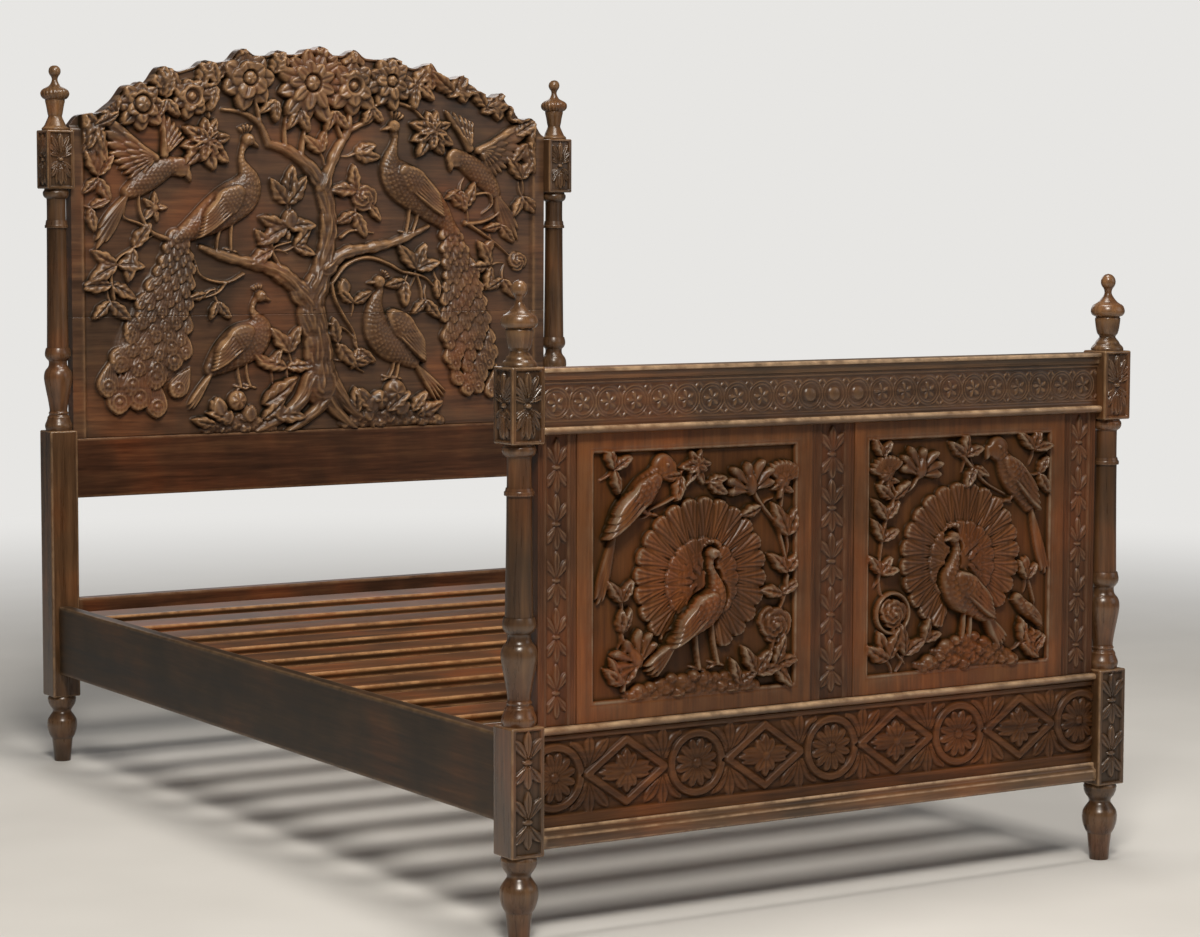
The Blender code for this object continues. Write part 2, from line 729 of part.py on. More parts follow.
board_rail = tenoned_rail("headboard_rail", *board_rail_box, bed)
board_half_width = post_inner_x - fit
cut(board_rail, box("headboard_rail_groove",
                    (-board_half_width - cut_past, board_middle - tongue_thickness / 2 - fit,
                     board_rail_top - tongue_depth - fit),
                    (board_half_width + cut_past, board_middle + tongue_thickness / 2 + fit,
                     board_rail_top + cut_past)))
give_material(board_rail, walnut, 0.45)

# The carving was drawn on a sheet of this size and is stretched to the field it fills
headboard_sheet_half_width = 605.0
headboard_sheet_height = 910.0
field_height = shoulder_height + arch_rise - board_rail_top
sheet_x = field_half_width / headboard_sheet_half_width
sheet_z = field_height / headboard_sheet_height


def arch_height(x):
    """The height of the leafy arch over a place across the board."""
    share = min(1.0, abs(x) / field_half_width)
    lobes = abs(math.sin(math.pi * arch_lobes * (share + 1) / 2))
    rise = (arch_rise - arch_lobe_height) * math.sqrt(1 - share ** 2)
    return shoulder_height + rise + arch_lobe_height * lobes * (1 - share ** 6)


def headboard_outline():
    """The outline of the whole back, from the rail up to just under the carved arch."""
    steps = arch_lobes * 6
    places = [field_half_width * (1 - 2 * index / steps) for index in range(steps + 1)]
    low = board_rail_top + fit
    corners = [(-board_half_width, low), (board_half_width, low), (board_half_width, shoulder_height)]
    arch = [(x, arch_height(x) - arch_overhang * (1 - abs(x) / field_half_width)) for x in places]
    return corners + arch + [(-board_half_width, shoulder_height)]


def on_sheet(points):
    """Sheet millimetres to places on the board."""
    return [(x * sheet_x, board_rail_top + z * sheet_z) for x, z in points]


def line(sheet, points, widths, height):
    ridge(sheet, on_sheet(points), [width * sheet_x for width in widths], height * headboard_relief)


def draw_tree(sheet):
    """The tree of life: roots, trunk, boughs and twigs."""
    line(sheet, [(-140, 8), (-60, 30), (0, 70), (0, 215), (-22, 300), (20, 385), (30, 465), (20, 565),
                 (0, 615), (-60, 650), (-130, 672), (-170, 745), (-240, 752)],
         [20, 40, 62, 46, 48, 44, 40, 36, 34, 28, 24, 16, 10], 1.0)
    line(sheet, [(140, 8), (60, 28), (0, 75)], [18, 36, 50], 0.8)
    line(sheet, [(-22, 300), (-120, 365), (-180, 395), (-290, 428)], [40, 32, 26, 14], 0.8)
    line(sheet, [(22, 570), (50, 665), (100, 708)], [30, 22, 10], 0.7)
    line(sheet, [(20, 390), (120, 425), (250, 460), (305, 476)], [36, 28, 20, 12], 0.8)
    line(sheet, [(40, 372), (120, 410), (280, 365), (322, 312)], [20, 18, 14, 10], 0.5)


def draw_peacock(sheet, side, neck, train, train_widths):
    """A peacock on a bough: head, neck and body in one sweep, a folded wing and a hanging train."""
    line(sheet, train, train_widths, 0.6)
    line(sheet, neck, [16, 34, 32, 56, 96, 84, 40], 1.0)
    (body_x, body_z), (rump_x, rump_z) = neck[3], neck[6]
    wing = [(body_x + side * 25, body_z - 10),
            ((body_x + rump_x) / 2 + side * 22, (body_z + rump_z) / 2 - 26),
            (rump_x + side * 25, rump_z - 34)]
    line(sheet, wing, [34, 56, 8], 1.05)
    leg_x, leg_z = neck[5]
    for shift in (0, 38):
        foot = leg_x - side * shift
        line(sheet, [(foot, leg_z - 20), (foot, leg_z - 105)], [16, 9], 0.5)


def draw_parrot(sheet, body, wings):
    """A flying parrot with both wings lifted and a long tail."""
    line(sheet, body, [14, 40, 62, 40, 30, 8], 0.8)
    for wing in wings:
        line(sheet, wing, [34, 60, 46, 8], 0.7)


def draw_birds(sheet):
    draw_peacock(sheet, -1, [(-150, 676), (-178, 682), (-160, 635), (-168, 590), (-220, 550), (-272, 522),
                             (-325, 498)],
                 [(-315, 505), (-368, 415), (-428, 215), (-458, 110), (-482, 18)], [60, 112, 196, 196, 40])
    draw_peacock(sheet, 1, [(165, 694), (196, 702), (184, 650), (200, 600), (250, 555), (295, 525),
                            (342, 500)],
                 [(335, 505), (380, 415), (408, 215), (420, 130), (462, 38)], [54, 80, 148, 164, 40])
    draw_parrot(sheet, [(-330, 600), (-352, 612), (-405, 580), (-460, 535), (-510, 492), (-575, 445)],
                [[(-405, 590), (-450, 650), (-500, 705), (-545, 738)],
                 [(-385, 600), (-375, 660), (-365, 710), (-352, 748)]])
    draw_parrot(sheet, [(350, 630), (370, 642), (420, 600), (470, 550), (515, 505), (575, 452)],
                [[(430, 600), (490, 655), (545, 700), (598, 732)],
                 [(405, 615), (390, 665), (370, 715), (350, 755)]])
    hen_widths = [14, 30, 34, 86, 90, 50, 16]
    line(sheet, [(-132, 308), (-156, 316), (-150, 282), (-182, 228), (-236, 190), (-290, 130), (-345, 76)],
         hen_widths, 0.85)
    line(sheet, [(132, 334), (156, 341), (150, 302), (186, 236), (240, 196), (292, 130), (346, 66)],
         hen_widths, 0.85)


def draw_flowers(sheet):
    """Flowers along the arch and among the boughs, and sprays of leaves between them."""
    for x, z, radius, petals in ((-20, 820, 76, 12), (90, 822, 58, 10), (-185, 836, 56, 10),
                                 (182, 832, 50, 10), (-460, 762, 42, 8), (-338, 790, 36, 8),
                                 (126, 550, 36, 8), (546, 395, 32, 6), (-282, 696, 58, 6), (302, 715, 50, 6)):
        (place_x, place_z), = on_sheet([(x, z)])
        flower(sheet, place_x, place_z, radius * sheet_x, headboard_relief * 0.8, petals)
    for x, z, first in ((-70, 560, 2.2), (-100, 440, 2.6), (-520, 392, 0.4), (-422, 512, 4.2),
                        (422, 545, 4.0), (-566, 682, 4.2), (-560, 592, 1.2), (560, 585, 1.2),
                        (345, 800, 0.6), (450, 780, 0.3), (560, 690, 4.4), (150, 730, 0.4)):
        (place_x, place_z), = on_sheet([(x, z)])
        spray(sheet, place_x, place_z, 4, 56 * sheet_x, 34 * sheet_x, headboard_relief * 0.6, first, math.pi)
    for side in (-1, 1):
        for column in range(5):
            (place_x, place_z), = on_sheet([(side * (60 + 68 * column), 12)])
            spray(sheet, place_x, place_z, 3, (80 - 6 * column) * sheet_x, 38 * sheet_x,
                  headboard_relief * 0.6, 0.6, math.pi * 0.9)


def make_board(name, low, high_at, high, triangles):
    """One board of the carved back: its stretch of the outline, the sunk field and the carving."""
    board = new_object(name, plate_mesh(headboard_outline(), board_thickness), bed)
    board.rotation_euler = (math.pi / 2, 0.0, 0.0)
    board.location = (0.0, (board_front + board_back) / 2, 0.0)
    boolean(board, box(f"{name}_stretch", (-board_half_width - cut_past, board_front - cut_clear, low),
                       (board_half_width + cut_past, board_back + cut_clear, high)), "INTERSECT")
    cut(board, box(f"{name}_sunk_field", (-field_half_width, board_front - cut_clear, low - cut_clear),
                   (field_half_width, ground_front, high + cut_clear)))
    sheet = Sheet(-field_half_width - layer_lap, field_half_width + layer_lap, low + layer_lift, high_at,
                  cell=0.005)
    draw_tree(sheet)
    draw_birds(sheet)
    draw_flowers(sheet)
    carve(board, f"{name}_carving", sheet, (0.0, ground_front - layer_lift, 0.0), "-Y", layer_depth,
          triangles)
    give_material(board, carved_walnut, 0.4)
    return board


def make_headboard():
    """The two boards of the carved back, with a tongue in the seam and one in the rail."""
    seam_low, seam_high = seam_height - fit / 2, seam_height + fit / 2
    lower = make_board("headboard_lower_board", board_rail_top + fit, lambda x: seam_low - layer_lift,
                       seam_low, lower_board_facets)
    upper = make_board("headboard_upper_board", seam_high, arch_height,
                       shoulder_height + arch_rise + cut_clear, upper_board_facets)
    tongue = tongue_thickness / 2
    join(lower, box("headboard_foot_tongue",
                    (-board_half_width, board_middle - tongue, board_rail_top - tongue_depth),
                    (board_half_width, board_middle + tongue, board_rail_top + join_lap)))
    join(lower, box("headboard_seam_tongue",
                    (-board_half_width, board_middle - tongue, seam_height - join_lap),
                    (board_half_width, board_middle + tongue, seam_height + tongue_depth)))
    cut(upper, box("headboard_seam_groove",
                   (-board_half_width - cut_past, board_middle - tongue - fit, seam_height - cut_clear),
                   (board_half_width + cut_past, board_middle + tongue + fit,
                    seam_height + tongue_depth + fit)))
    for label, side in post_sides.items():
        ends = sorted((side * (post_inner_x - join_lap), side * (post_inner_x + tongue_depth)))
        join(upper, box(f"headboard_tongue_{label}", (ends[0], board_middle - tongue, board_tongue_low),
                        (ends[1], board_middle + tongue, board_tongue_high)))


make_headboard()


# Foot end: rails, mouldings, stiles, muntin and the two carved panels

guilloche_pitch = 0.054
guilloche_radius = 0.0235
guilloche_flower = 0.012
guilloche_sink = 0.004
guilloche_border = 0.006
rosette_pitch = 0.295
rosette_radius = 0.047
lozenge_half_width = 0.075
lozenge_half_height = 0.056
strap_width = 0.009
ring_half_width = 0.006
band_sink = 0.006
band_border = 0.005
band_bottom = bottom_rail_bottom + base_moulding_height
band_top = bottom_rail_top - ledge_height
guilloche_bottom = top_rail_bottom + 2 * bead_radius


def carve_band(rail, name, low, high, sink, draw, triangles):
    """Sink a band along a rail and fill it with carving."""
    half = board_half_width - band_border
    cut(rail, box(f"{name}_sunk", (-half, footboard_front - cut_clear, low),
                  (half, footboard_front + sink, high)))
    middle = (low + high) / 2
    reach = (high - low) / 2 + layer_lap
    sheet = Sheet(-half - layer_lap, half + layer_lap, -reach, lambda x: reach, cell=0.003)
    draw(sheet)
    ground = (0.0, footboard_front + sink - layer_lift, middle)
    carve(rail, f"{name}_carving", sheet, ground, "-Y", layer_depth, triangles)


def cut_upright_seats(rail, name, seat, deep_tenon, deep_groove):
    """Cut the mortises of the stiles and the grooves of the panels in a rail."""
    for piece, x_low, x_high in stile_places():
        cut(rail, stile_mortise(f"{piece}_{name}_mortise", x_low, x_high, *sorted((seat, deep_tenon))))
    for piece, x_low, x_high in panel_places():
        cut(rail, panel_groove(f"{piece}_{name}_groove", x_low, x_high, *sorted((seat, deep_groove))))


def draw_guilloche(sheet):
    """Linked rings with a small flower in each."""
    count = int((board_half_width - guilloche_radius) / guilloche_pitch)
    for index in range(-count, count + 1):
        x = index * guilloche_pitch
        ring(sheet, x, 0.0, guilloche_radius, ring_half_width, guilloche_sink)
        away = np.hypot(sheet.x - x, sheet.y)
        sheet.raise_to(guilloche_sink * round_over(away / guilloche_flower))


def make_top_rail():
    """The upper rail with its band of linked rings."""
    rail = tenoned_rail("footboard_top_rail", *top_rail_box, bed, rounding=edge_ease)
    carve_band(rail, "guilloche", guilloche_bottom + guilloche_border, top_rail_top - guilloche_border,
               guilloche_sink, draw_guilloche, guilloche_facets)
    cut_upright_seats(rail, "top", top_rail_bottom - cut_past, top_rail_bottom + tenon_length + fit,
                      top_rail_bottom + tongue_depth + fit)
    give_material(rail, walnut, 0.42)


def draw_rosette(sheet, x):
    """A ring with a flower of many petals in it."""
    ring(sheet, x, 0.0, rosette_radius, ring_half_width, band_sink)
    flower(sheet, x, 0.0, rosette_radius * 0.85, band_sink, 12)


def draw_lozenge(sheet, x):
    """A lozenge with a four-leaf flower, and leaves in the corners round it."""
    wide, high = lozenge_half_width, lozenge_half_height
    corners = [(x - wide, 0.0), (x, high), (x + wide, 0.0), (x, -high)]
    for first, second in zip(corners, corners[1:] + corners[:1]):
        ridge(sheet, [first, second], [strap_width, strap_width], band_sink * 0.9)
    spray(sheet, x, 0.0, 4, high * 0.82, high * 0.46, band_sink)
    spray(sheet, x, 0.0, 4, high * 0.54, high * 0.32, band_sink * 0.9, first=math.pi / 4)
    for side in (-1, 1):
        for level in (-1, 1):
            lean = 0.35 * level if side > 0 else math.pi - 0.35 * level
            leaf(sheet, x + side * wide * 0.53, level * high * 0.64, wide * 0.83, wide * 0.37,
                 band_sink * 0.8, lean)


def draw_band(sheet):
    for index in range(-2, 3):
        draw_rosette(sheet, index * rosette_pitch)
    for index in range(-2, 2):
        draw_lozenge(sheet, (index + 0.5) * rosette_pitch)


def make_bottom_rail():
    """The lower rail with its band of rosettes and lozenges."""
    rail = tenoned_rail("footboard_bottom_rail", *bottom_rail_box, bed, rounding=edge_ease)
    carve_band(rail, "band", band_bottom + band_border, band_top - band_border, band_sink, draw_band,
               band_facets)
    cut(rail, box("ledge_rebate", (-board_half_width - cut_past, footboard_front - cut_clear, band_top - fit),
                  (board_half_width + cut_past, footboard_front + ledge_depth + fit,
                   bottom_rail_top + cut_clear)))
    cut_upright_seats(rail, "bottom", bottom_rail_top + cut_past, bottom_rail_top - tenon_length - fit,
                      bottom_rail_top - tongue_depth - fit)
    give_material(rail, walnut, 0.42)


def nose_section(front, back, low, high, steps=5):
    """A moulding section with a half-round nose at the front."""
    radius = (high - low) / 2
    middle = (high + low) / 2
    arc = [math.pi / 2 + math.pi * index / steps for index in range(steps + 1)]
    nose = [(front + radius + radius * math.cos(turn), middle + radius * math.sin(turn)) for turn in arc]
    return [(back, high)] + nose + [(back, low)]


def make_mouldings():
    """The four mouldings that run between the foot posts."""
    half = board_half_width
    cap_low = top_rail_top + fit
    cap = nose_section(footboard_front - cap_overhang, footboard_back + cap_overhang / 2, cap_low,
                       cap_low + cap_height)
    bead = nose_section(footboard_front - fit - 2 * bead_radius, footboard_front - fit, top_rail_bottom,
                        top_rail_bottom + 2 * bead_radius)
    ledge_low = bottom_rail_top - ledge_height
    ledge = nose_section(footboard_front - ledge_overhang, footboard_front + ledge_depth, ledge_low,
                         bottom_rail_top)
    base_back = footboard_front - fit
    base_front = base_back - base_moulding_depth
    base_low, base_high = bottom_rail_bottom, bottom_rail_bottom + base_moulding_height
    rise = base_moulding_height / 5
    lip, ease = base_moulding_lip, base_moulding_ease
    base = [(base_back, base_high), (base_back - lip, base_high), (base_back - 1.5 * lip, base_high - rise),
            (base_front + ease, base_low + 3 * rise), (base_front, base_low + 2 * rise),
            (base_front, base_low + rise), (base_front + ease, base_low), (base_back, base_low)]
    for name, section in (("footboard_cap_moulding", cap), ("footboard_bead_moulding", bead),
                          ("footboard_ledge_moulding", ledge), ("footboard_base_moulding", base)):
        give_material(moulding(name, section, -half, half, bed), carved_walnut, 0.38)


def stile_places():
    """Name and span across of the two stiles and the muntin."""
    outer = post_inner_x - fit
    inner = outer - stile_width
    return (("footboard_stile_left", -outer, -inner),
            ("footboard_muntin", -muntin_width / 2, muntin_width / 2),
            ("footboard_stile_right", inner, outer))


def panel_places():
    """Name and span across of the two panels."""
    return (("footboard_panel_left", -panel_outer_x, -panel_inner_x),
            ("footboard_panel_right", panel_inner_x, panel_outer_x))


def stile_mortise(name, x_low, x_high, z_low, z_high):
    """The mortise for the tenon of a stile."""
    return box(name, (x_low + tenon_shoulder - fit, footboard_middle - tenon_thickness / 2 - fit, z_low),
               (x_high - tenon_shoulder + fit, footboard_middle + tenon_thickness / 2 + fit, z_high))


def panel_groove(name, x_low, x_high, z_low, z_high):
    """The groove for one edge of a panel."""
    half = tongue_thickness / 2 + fit
    reach = tongue_depth + fit
    return box(name, (x_low - reach, panel_middle - half, z_low),
               (x_high + reach, panel_middle + half, z_high))


husk_pitch = 0.083


def draw_stile(sheet, half_width, half_length):
    """Two reeds down each side and a drop of husks down the middle."""
    reed = reed_width / 2
    for side in (-1, 1):
        for place in (0.5, 1.5):
            x = side * (half_width - place * reed)
            ridge(sheet, [(x, -half_length), (x, half_length)], [reed, reed], reed_height)
    count = int(2 * half_length / husk_pitch)
    drop = 2 * half_length / count
    strip = half_width - reed_width
    for index in range(count):
        husk(sheet, 0.0, half_length - (index + 0.1) * drop, drop * 0.98, strip * 1.7, husk_height)


def make_stile(name, x_low, x_high):
    """A reeded upright with a drop of husks down its middle and a tenon at each end."""
    middle_x = (x_low + x_high) / 2
    middle_z = (opening_bottom + opening_top) / 2
    front = footboard_front + stile_setback + reed_height
    stile = box(name, (x_low, front, opening_bottom), (x_high, front + stile_thickness, opening_top), bed)
    for label, z_low, z_high in (("top", opening_top - join_lap, opening_top + fit + tenon_length),
                                 ("bottom", opening_bottom - fit - tenon_length, opening_bottom + join_lap)):
        join(stile, box(f"{name}_{label}_tenon",
                        (x_low + tenon_shoulder, footboard_middle - tenon_thickness / 2, z_low),
                        (x_high - tenon_shoulder, footboard_middle + tenon_thickness / 2, z_high)))
    for panel, panel_low, panel_high in panel_places():
        ends = (panel_low - tongue_depth - 2 * fit, panel_high + tongue_depth + 2 * fit)
        half = tongue_thickness / 2 + fit
        if ends[0] < x_high and ends[1] > x_low:
            cut(stile, box(f"{name}_{panel}_groove",
                           (ends[0], panel_middle - half, opening_bottom - cut_past),
                           (ends[1], panel_middle + half, opening_top + cut_past)))
    half_width = (x_high - x_low) / 2 - layer_lap
    half_length = (opening_top - opening_bottom) / 2 - layer_lap
    sheet = Sheet(-half_width, half_width, -half_length, lambda x: half_length, cell=0.0015)
    draw_stile(sheet, half_width, half_length)
    carve(stile, f"{name}_carving", sheet, (middle_x, front - layer_lift, middle_z), "-Y", layer_depth,
          stile_facets)
    give_material(stile, red_walnut, 0.42)


# Each panel's carving was drawn on a sheet of this size, from the middle of its field
panel_sheet_half_width = 210.0
panel_sheet_half_height = 220.0
panel_field_half_width = (panel_outer_x - panel_inner_x) / 2 - panel_margin
panel_field_half_height = (opening_top - opening_bottom) / 2 - panel_margin * 0.8


def draw_panel(sheet, side):
    """A displaying peacock under a diving parrot, with lilies, a rose, a leaf and rocks."""
    size = panel_field_half_width / panel_sheet_half_width
    scale_y = panel_field_half_height / panel_sheet_half_height

    def spot(x, y):
        return side * x * size, y * scale_y

    def lean(angle):
        return angle if side > 0 else math.pi - angle

    def line(points, widths, height):
        ridge(sheet, [spot(x, y) for x, y in points], [width * size for width in widths],
              height * panel_relief)

    def leaves(x, y, count, length, width, first, spread, height):
        for index in range(count):
            leaf(sheet, *spot(x, y), length * size, width * size, height * panel_relief,
                 lean(first + spread * index / max(1, count - 1)))

    for index in range(15):
        turn = math.pi * (-0.12 + 1.24 * index / 14)
        leaves(-8 + 60 * math.cos(turn), -8 + 60 * math.sin(turn), 1, 92, 40, turn, 0.0, 0.6)
    flower(sheet, *spot(-8, -8), 76 * size, panel_relief * 0.65, 18)
    line([(38, 22), (16, 26), (6, -10), (-2, -44), (-30, -84), (-70, -130)], [10, 24, 26, 62, 70, 18], 1.0)
    line([(4, -70), (2, -150)], [12, 8], 0.6)
    line([(-14, -84), (-18, -160)], [12, 8], 0.6)
    line([(-80, 196), (-96, 190), (-122, 150), (-150, 90), (-176, 20), (-200, -60)],
         [12, 34, 58, 52, 34, 8], 0.9)
    for x, y, first in ((78, 172, 1.3), (158, 156, 0.6)):
        leaves(x, y, 3, 54, 30, first, 1.1, 0.7)
    flower(sheet, *spot(144, -104), 36 * size, panel_relief * 0.8, 8)
    leaves(150, -196, 4, 62, 34, 0.6, 1.9, 0.7)
    line([(40, -196), (100, -120), (140, -20), (150, 60), (120, 140)], [12, 12, 10, 9, 8], 0.5)
    line([(-190, 30), (-196, -60), (-170, -180)], [8, 10, 12], 0.5)
    for x in (-170, -110, -50, 10, 70):
        line([(x - 22, -204), (x + 18, -196)], [34, 26], 0.7)
    for x, y, first in ((-176, -110, 0.4), (-60, 110, 1.2), (20, 180, 0.6), (-190, 150, 0.2), (186, 40, 1.6),
                        (182, -40, 1.8)):
        leaves(x, y, 3, 48, 26, first, 1.3, 0.6)


def make_panel(name, x_low, x_high):
    """A carved panel: a plain margin, a sunk field with its carving, and a tongue all round."""
    middle_x = (x_low + x_high) / 2
    middle_z = (opening_bottom + opening_top) / 2
    panel = box(name, (x_low, panel_front, opening_bottom), (x_high, panel_back, opening_top), bed)
    cut(panel, box(f"{name}_field", (middle_x - panel_field_half_width, panel_front - cut_clear,
                                     middle_z - panel_field_half_height),
                   (middle_x + panel_field_half_width, panel_ground, middle_z + panel_field_half_height)))
    half_width = panel_field_half_width + layer_lap
    half_height = panel_field_half_height + layer_lap
    sheet = Sheet(-half_width, half_width, -half_height, lambda x: half_height, cell=0.003)
    draw_panel(sheet, 1 if middle_x < 0 else -1)
    carve(panel, f"{name}_carving", sheet, (middle_x, panel_ground - layer_lift, middle_z), "-Y", layer_depth,
          panel_facets)
    tongue = tongue_thickness / 2
    join(panel, box(f"{name}_tongue",
                    (x_low - tongue_depth, panel_middle - tongue, opening_bottom - fit - tongue_depth),
                    (x_high + tongue_depth, panel_middle + tongue, opening_top + fit + tongue_depth)))
    give_material(panel, carved_walnut, 0.4)


make_top_rail()
make_bottom_rail()
make_mouldings()
for place in stile_places():
    make_stile(*place)
for place in panel_places():
    make_panel(*place)

# Everything hangs on one empty at the middle of the bed on the floor
origin = bpy.data.objects.new("bed_origin", None)
bpy.context.scene.collection.objects.link(origin)
for piece in bed.objects:
    piece.parent = origin
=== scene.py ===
"""Looks of the carved bed: finer carving and turning, wood finishes, floor, light and camera.

Shapes are worked in millimetres, with x across the bed, y along it (the head at +y) and z up from the floor,
and are put into the scene in metres. A carved face is drawn with x across it and y up from the floor.
"""
import math

import bmesh
import bpy
import numpy as np
from mathutils import Matrix, Vector


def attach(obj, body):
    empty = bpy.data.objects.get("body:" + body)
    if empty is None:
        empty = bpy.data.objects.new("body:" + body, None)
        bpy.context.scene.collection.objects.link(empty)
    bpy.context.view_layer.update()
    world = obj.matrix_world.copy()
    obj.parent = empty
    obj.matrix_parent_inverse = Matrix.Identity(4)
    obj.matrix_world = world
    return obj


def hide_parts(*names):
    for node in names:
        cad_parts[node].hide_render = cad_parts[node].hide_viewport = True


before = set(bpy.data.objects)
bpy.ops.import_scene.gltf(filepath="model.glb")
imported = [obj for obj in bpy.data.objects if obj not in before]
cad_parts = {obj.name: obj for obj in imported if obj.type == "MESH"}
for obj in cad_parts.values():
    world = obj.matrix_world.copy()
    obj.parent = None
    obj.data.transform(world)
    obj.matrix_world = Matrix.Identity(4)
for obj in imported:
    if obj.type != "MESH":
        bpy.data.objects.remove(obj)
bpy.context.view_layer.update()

# Posts: the levels are the top of the lower block and the bottom and top of the upper block
fit = 0.3
post_x, post_y, post_half = 655, 1025, 32.5
foot_height, block_sink = 150, 4
head_levels, foot_levels = (755, 1300, 1431), (375, 858, 989)

# Headboard: two carved boards with a plain margin round the carved field, over a plain rail
board_half = post_x - post_half - fit
field_half = board_half - 30
board_bottom, seam, shoulder = 735.3, 1010, 1431
ground_y, board_back, margin_height = 1026.5, 1048.5, 8
board_rail_front, board_rail_back, board_rail_low, board_rail_high = 1017.5, 1057.5, 600, board_bottom - fit
head_rail_front, head_rail_back, head_rail_low, head_rail_high = 995.5, 1027.5, 215, 373

# Side rails, the ledgers inside them and the slats on the ledgers
rail_inner, rail_outer, rail_low, rail_high = 643, 673, 203, 357
rail_half = post_y - post_half - fit
ledger_outer, ledger_low, ledger_high = rail_inner - fit, 302.7, 328.7
ledger_inner, ledger_half = ledger_outer - 24, rail_half - 20
slat_count, slat_width, slat_half = 10, 100, 640
slat_low, slat_high = ledger_high + fit, ledger_high + fit + 20
slat_pitch = 2 * (post_y - post_half) / slat_count

# Footboard: rails, stiles, muntin, panels and mouldings; a sink is how deep a carved field lies
front_y, footboard_back = -1037.5, -1001.5
top_rail_low, top_rail_high = 872, 965
guilloche_low, guilloche_high, guilloche_sink = 885, top_rail_high, 4
bottom_rail_low, bottom_rail_high = 160, 368
band_low, band_high, band_sink = 195, 355, 6
opening_low, opening_high = bottom_rail_high + fit, top_rail_low - fit
muntin_half, stile_front, stile_back, stile_sink = 47.5, -1032.5, -1006, 4
panel_inner, panel_outer = muntin_half + fit, 544.9
stile_inner = panel_outer + fit
panel_ground, panel_back, panel_border, panel_margin = -1023.5, -1007.5, 35.5, 10
cap_low, cap_high, cap_front, cap_back = top_rail_high + fit, top_rail_high + fit + 20, -1047.5, -996.5
bead_depth, ledge_depth, base_depth = 13, 9, 14

# Cells of the carved grids, the lift of the panels' carving, and how far some carved fields are dulled
board_cell, panel_cell, band_cell, stile_cell, top_rail_cell, block_cell = 2.0, 1.6, 1.6, 1.2, 1.3, 1.3
panel_lift, panel_dullness, band_dullness, husk_dullness, palmette_dullness = 1.30, 0.17, 0.13, 0.14, 0.06
rock_pitch = 23

# The crest: how high its leaf tips reach at places out from the middle, how far they stand over the board,
# and the level from which it is painted paler, a painted highlight as if lit from above
crest_places = [0, 150, 300, 400, 500, 550, 600, board_half]
crest_heights = [1640, 1630, 1604, 1574, 1530, 1492, 1452, 1446]
crest_reach, crest_foot, crest_painted_highlight, hem_drop = 18, 1450, 0.07, 30
# The crest's flowers: middle, radius, petals, share of the eye, and whether the eye is hollow
crest_flowers = [(-20, 1552, 88, 11, 0.23, False), (90, 1548, 66, 8, 0.34, True),
                 (-182, 1560, 68, 7, 0.26, False), (190, 1562, 62, 9, 0.24, False),
                 (-452, 1494, 58, 8, 0.36, False), (-328, 1514, 48, 7, 0.46, True)]

# Turned profiles of radius and height
foot_profile = [(18.3, 0), (18.6, 4), (22.8, 48), (24.5, 53), (28.5, 60), (32.4, 72), (33.8, 84),
                (32.2, 95), (27, 104), (22, 111), (20.8, 115), (22, 119), (27.4, 127), (30.5, 134),
                (31.6, 140), (31.6, 145)]
vase_profile = [(29, 2), (30.5, 8), (30.2, 14), (27, 22), (25.4, 27), (24.6, 31), (21, 36), (22.3, 40),
                (20, 46), (23, 68), (27.8, 93), (31, 112), (31.7, 122), (30.4, 131), (27.3, 138), (23, 143),
                (20.7, 149), (20.7, 157), (24, 161), (28, 167), (29.2, 174), (28.2, 181), (26.5, 187),
                (24.4, 191)]
capital_profile = [(21.8, -90), (25.5, -88), (26, -84.5), (25.5, -81), (21.6, -78), (21.2, -26), (22.5, -22),
                   (27, -18), (29.4, -12), (28.8, -6), (26.5, -3)]
head_finial_profile = [(29.8, 0), (30.3, 2.5), (29.6, 5), (24.7, 10), (19.5, 21), (15.6, 30.5), (16.8, 37),
                       (19.5, 53), (22, 64), (22.3, 68), (27, 70.7), (31, 75.5), (32.5, 81.5), (31, 87),
                       (25.9, 92), (18, 96), (12, 100), (7.9, 107), (6.4, 113), (8, 119), (12, 125),
                       (13.5, 131.5), (11.8, 138.5), (6.8, 143.4), (0, 145)]
foot_finial_profile = [(30.6, 0), (30.9, 2.5), (30.2, 5), (28.4, 8), (24.3, 12), (21.6, 17), (15.5, 25),
                       (17, 29), (19.7, 33), (22.2, 44), (24.1, 60), (22.5, 64), (28, 66.6), (31.4, 71),
                       (32.2, 76), (30.2, 83), (27, 87), (23.4, 89), (18, 92.7), (14.7, 96.3), (10.4, 102),
                       (7.2, 108), (7, 113), (8.6, 118), (12.6, 124), (14, 130.5), (12.4, 138), (7.2, 144),
                       (0, 146.5)]


# Finishes: a value that a node takes may be an outlet, which is a pair of another node and its output's name


def connect(tree, made, inputs):
    """Give a node's inputs their values, or link them to outlets."""
    for socket, value in inputs.items():
        if isinstance(value, tuple) and isinstance(value[0], bpy.types.Node):
            tree.links.new(value[0].outputs[value[1]], made.inputs[socket])
        else:
            made.inputs[socket].default_value = value


def node(tree, kind, inputs=None, **settings):
    """Add a shader node with its settings and inputs."""
    made = tree.nodes.new(kind)
    for name, value in settings.items():
        setattr(made, name, value)
    connect(tree, made, inputs or {})
    return made


def noise(tree, places, scale, detail, roughness=0.5, distortion=0.0):
    """Soft noise over places."""
    inputs = {"Vector": places, "Scale": scale, "Detail": detail, "Roughness": roughness,
              "Distortion": distortion}
    return node(tree, "ShaderNodeTexNoise", inputs), "Fac"


def mix(tree, factor, first, second, data_type="RGBA", blend_type="MIX"):
    """Two values or colours mixed into one."""
    inputs = {"Factor": factor, "A": first, "B": second}
    return node(tree, "ShaderNodeMix", inputs, data_type=data_type, blend_type=blend_type), "Result"


def maths(tree, operation, *values):
    """A sum or product of values."""
    return node(tree, "ShaderNodeMath", dict(enumerate(values)), operation=operation), "Value"


